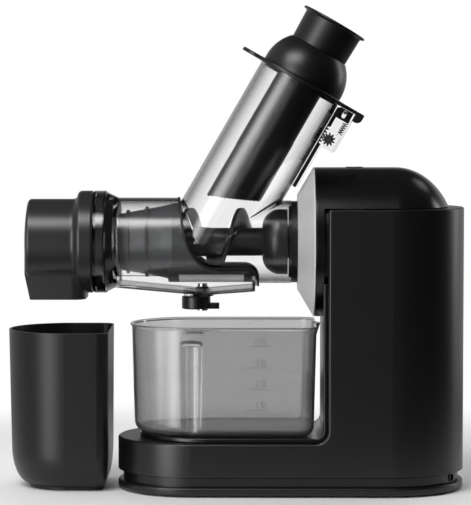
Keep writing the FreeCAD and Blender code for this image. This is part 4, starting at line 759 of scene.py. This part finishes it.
# Walls that mirrors see. Each is a product of ramps over the direction: its axis, the first and the last
# value on it, and the brightness up to the one and from the other.
LOW_WALL = [("z", 0.15, 0.5, 1.0, 0.0), ("z", -0.35, -0.02, 0.2, 1.0)]
MIRRORED = {
    "back": [("y", 0.25, 0.55, 0.0, 1.0), ("x", -0.6, -0.1, 0.66, 0.6), *LOW_WALL],
    "left": [("x", -0.6, -0.9, 0.0, 0.66), ("y", -0.15, 0.35, 0.5, 1.0), *LOW_WALL],
    "high": [("x", -0.25, -0.5, 0.0, 0.36), ("z", 0.75, 0.95, 1.0, 0.0)],
    "card": [("y", -0.75, -0.9, 0.0, 0.9), ("x", 0.02, -0.25, 0.0, 1.0), ("z", 0.0, 0.2, 1.0, 0.0)],
    "sky": [("z", 0.2, 1.0, 0.02, 0.06)],
}
# Light that falls on matt surfaces, as ramps like those of the walls.
AMBIENT = [("y", -0.6, 0.6, 0.2, 1.8), ("z", 0.0, 1.0, 0.25, 0.6)]
# Lamps, with the share of their width and of their height over which they fade.
LAMPS = {
    "front": dict(place=(-0.56, -0.82, 1.5), target=(-0.16, 0.0, 0.22), size=(1.4, 1.15), power=48.0,
                  fade=(0.3, 0.48)),
    "left": dict(place=(-1.26, -1.55, 0.4), target=(0.0, 0.0, 0.3), size=(1.5, 2.6), power=72.0,
                 fade=(0.48, 0.3)),
    "right": dict(place=(1.45, 0.7, 0.55), target=(0.15, 0.0, 0.3), size=(0.4, 1.3), power=9.0,
                  fade=(0.48, 0.3)),
    "rear": dict(place=(1.1, 1.05, 1.55), target=(0.15, 0.0, 0.25), size=(0.5, 0.5), power=0.8),
}
# Lamps that light the jug alone.
JUG_LAMPS = {
    "side": dict(place=(-1.42, -0.72, 0.45), target=(0.0, 0.0, 0.1), size=(1.2, 1.8), power=40.0,
                 fade=(0.48, 0.3)),
    "wash": dict(place=(1.0, -1.35, 0.3), target=(0.0, 0.0, 0.1), size=(1.4, 1.4), power=22.0,
                 fade=(0.48, 0.48)),
}
CAMERA_PLACE = (0.0156 + CENTRE_X * MM, -2.09, 0.337)
CAMERA_PITCH = math.radians(3.6)
# The camera looks 19.5 mm to the left over a distance of 2400 mm.
CAMERA_YAW = math.atan(19.5 / 2400)
CAMERA_LENS = 171.1
CAMERA_SENSOR = 36.0
CAMERA_FAR = 50.0


def face_along(obj, ahead):
    """Turn a lamp or a camera so that it looks along a direction, upright."""
    obj.rotation_euler = ahead.to_track_quat("-Z", "Y").to_euler()


def soft_edges(tree, fade):
    """Strength of a lamp's face: the product of a ramp from each edge, over a share of width or height."""
    spot = add(tree, "ShaderNodeNewGeometry").outputs["Parametric"]
    place = add(tree, "ShaderNodeSeparateXYZ", in_0=spot).outputs
    return joined(tree, "MULTIPLY", [ramp(tree, place[axis], edge, abs(edge - share))
                                     for axis, share in enumerate(fade) for edge in (0.0, 1.0)])


def area_light(name, place, target, size, power, fade=None):
    """Rectangular soft light that faces the target, with a fade at its edges like a cloth softbox."""
    data = bpy.data.lights.new(name, "AREA")
    data.shape = "RECTANGLE"
    data.size, data.size_y = size
    data.energy = power
    if fade:
        data.use_nodes = True
        tree = data.node_tree
        feed(tree, first_node(tree, "EMISSION").inputs["Strength"], soft_edges(tree, fade))
    lamp = bpy.data.objects.new(name, data)
    lamp.location = place
    face_along(lamp, Vector(target) - Vector(place))
    scene.collection.objects.link(lamp)
    return lamp


def seen_directly(tree, path):
    """One for what the camera sees, straight or through clear walls with no mirror between, else nothing."""
    # The depth is a whole number, so this is a step between none and one.
    no_mirror = ramp(tree, path["Glossy Depth"], first=0.4, last=0.6, low=1.0, high=0.0)
    passed = both(tree, "MULTIPLY", path["Is Transmission Ray"], no_mirror)
    return both(tree, "MAXIMUM", path["Is Camera Ray"], passed)


def make_floor():
    """Flat square of pale floor, four corners at height zero.

    Away from the middle its shade darkens, and what the camera sees of it goes over to white. Mirrors see it
    only near a point behind the object.
    """
    corners = [(-FLOOR_HALF, -FLOOR_HALF, 0), (FLOOR_HALF, -FLOOR_HALF, 0), (FLOOR_HALF, FLOOR_HALF, 0),
               (-FLOOR_HALF, FLOOR_HALF, 0)]
    mesh = bpy.data.meshes.new("floor")
    mesh.from_pydata(corners, [], [(0, 1, 2, 3)])
    floor = bpy.data.objects.new("floor", mesh)
    scene.collection.objects.link(floor)
    material, tree, shader = new_material("floor_pale")
    place = add(tree, "ShaderNodeTexCoord").outputs["Object"]
    path = add(tree, "ShaderNodeLightPath").outputs
    far = add(tree, "ShaderNodeVectorMath", operation="LENGTH", in_0=place).outputs["Value"]
    away = add(tree, "ShaderNodeVectorMath", operation="DISTANCE", in_0=place,
               in_1=FLOOR_BEHIND).outputs["Value"]
    feed(tree, shader["Roughness"], FLOOR_ROUGH)
    feed(tree, shader["Base Color"], ramp(tree, far, *FLOOR_SHADE))
    white = both(tree, "MULTIPLY", ramp(tree, far, *FLOOR_WHITE), seen_directly(tree, path))
    lost = both(tree, "MULTIPLY", path["Is Glossy Ray"], ramp(tree, away, *FLOOR_LOST))
    plain = first_node(tree, "BSDF_PRINCIPLED").outputs[0]
    glow = add(tree, "ShaderNodeEmission", in_Color=WHITE, in_Strength=1.0).outputs[0]
    gone = add(tree, "ShaderNodeBsdfTransparent").outputs[0]
    seen = add(tree, "ShaderNodeMixShader", in_0=white, in_1=plain, in_2=glow).outputs[0]
    surface = add(tree, "ShaderNodeMixShader", in_0=lost, in_1=seen, in_2=gone).outputs[0]
    feed(tree, first_node(tree, "OUTPUT_MATERIAL").inputs["Surface"], surface)
    mesh.materials.append(material)


def make_world():
    """White to the camera and through clear walls, pale walls for mirrors, soft light for matt surfaces."""
    world = bpy.data.worlds.new("studio")
    world.use_nodes = True
    tree = world.node_tree
    tree.nodes.clear()
    coord = add(tree, "ShaderNodeTexCoord").outputs["Generated"]
    way = dict(zip("xyz", add(tree, "ShaderNodeSeparateXYZ", in_0=coord).outputs))
    path = add(tree, "ShaderNodeLightPath").outputs

    def wall(ramps):
        """Product of ramps over the direction."""
        return joined(tree, "MULTIPLY", [ramp(tree, way[axis], *values) for axis, *values in ramps])

    mirrored = joined(tree, "MAXIMUM", [wall(ramps) for ramps in MIRRORED.values()])
    bounced = both(tree, "MAXIMUM", path["Is Glossy Ray"], path["Is Transmission Ray"])
    strength = joined(tree, "MAXIMUM", [
        seen_directly(tree, path),
        both(tree, "MULTIPLY", bounced, mirrored),
        both(tree, "MULTIPLY", path["Is Diffuse Ray"], wall(AMBIENT)),
    ])
    light = add(tree, "ShaderNodeBackground", in_Color=WHITE, in_Strength=strength)
    add(tree, "ShaderNodeOutputWorld", in_Surface=light.outputs[0])
    scene.world = world


def make_camera():
    """Camera at the photograph's viewpoint."""
    data = bpy.data.cameras.new("camera")
    data.lens = CAMERA_LENS
    data.sensor_width = CAMERA_SENSOR
    data.clip_end = CAMERA_FAR
    camera = bpy.data.objects.new("camera", data)
    camera.location = CAMERA_PLACE
    level = math.cos(CAMERA_PITCH)
    aside = -math.sin(CAMERA_YAW) * level
    forward = math.cos(CAMERA_YAW) * level
    face_along(camera, Vector((aside, forward, -math.sin(CAMERA_PITCH))))
    scene.collection.objects.link(camera)
    scene.camera = camera


make_floor()
make_world()
make_camera()
for name, values in LAMPS.items():
    area_light(name, **values)
jug_only = bpy.data.collections.new("lit_by_jug_lamps")
jug_only.objects.link(bpy.data.objects["jug_shell"])
for name, values in JUG_LAMPS.items():
    area_light(name, **values).light_linking.receiver_collection = jug_only
scene.view_settings.view_transform = "Standard"
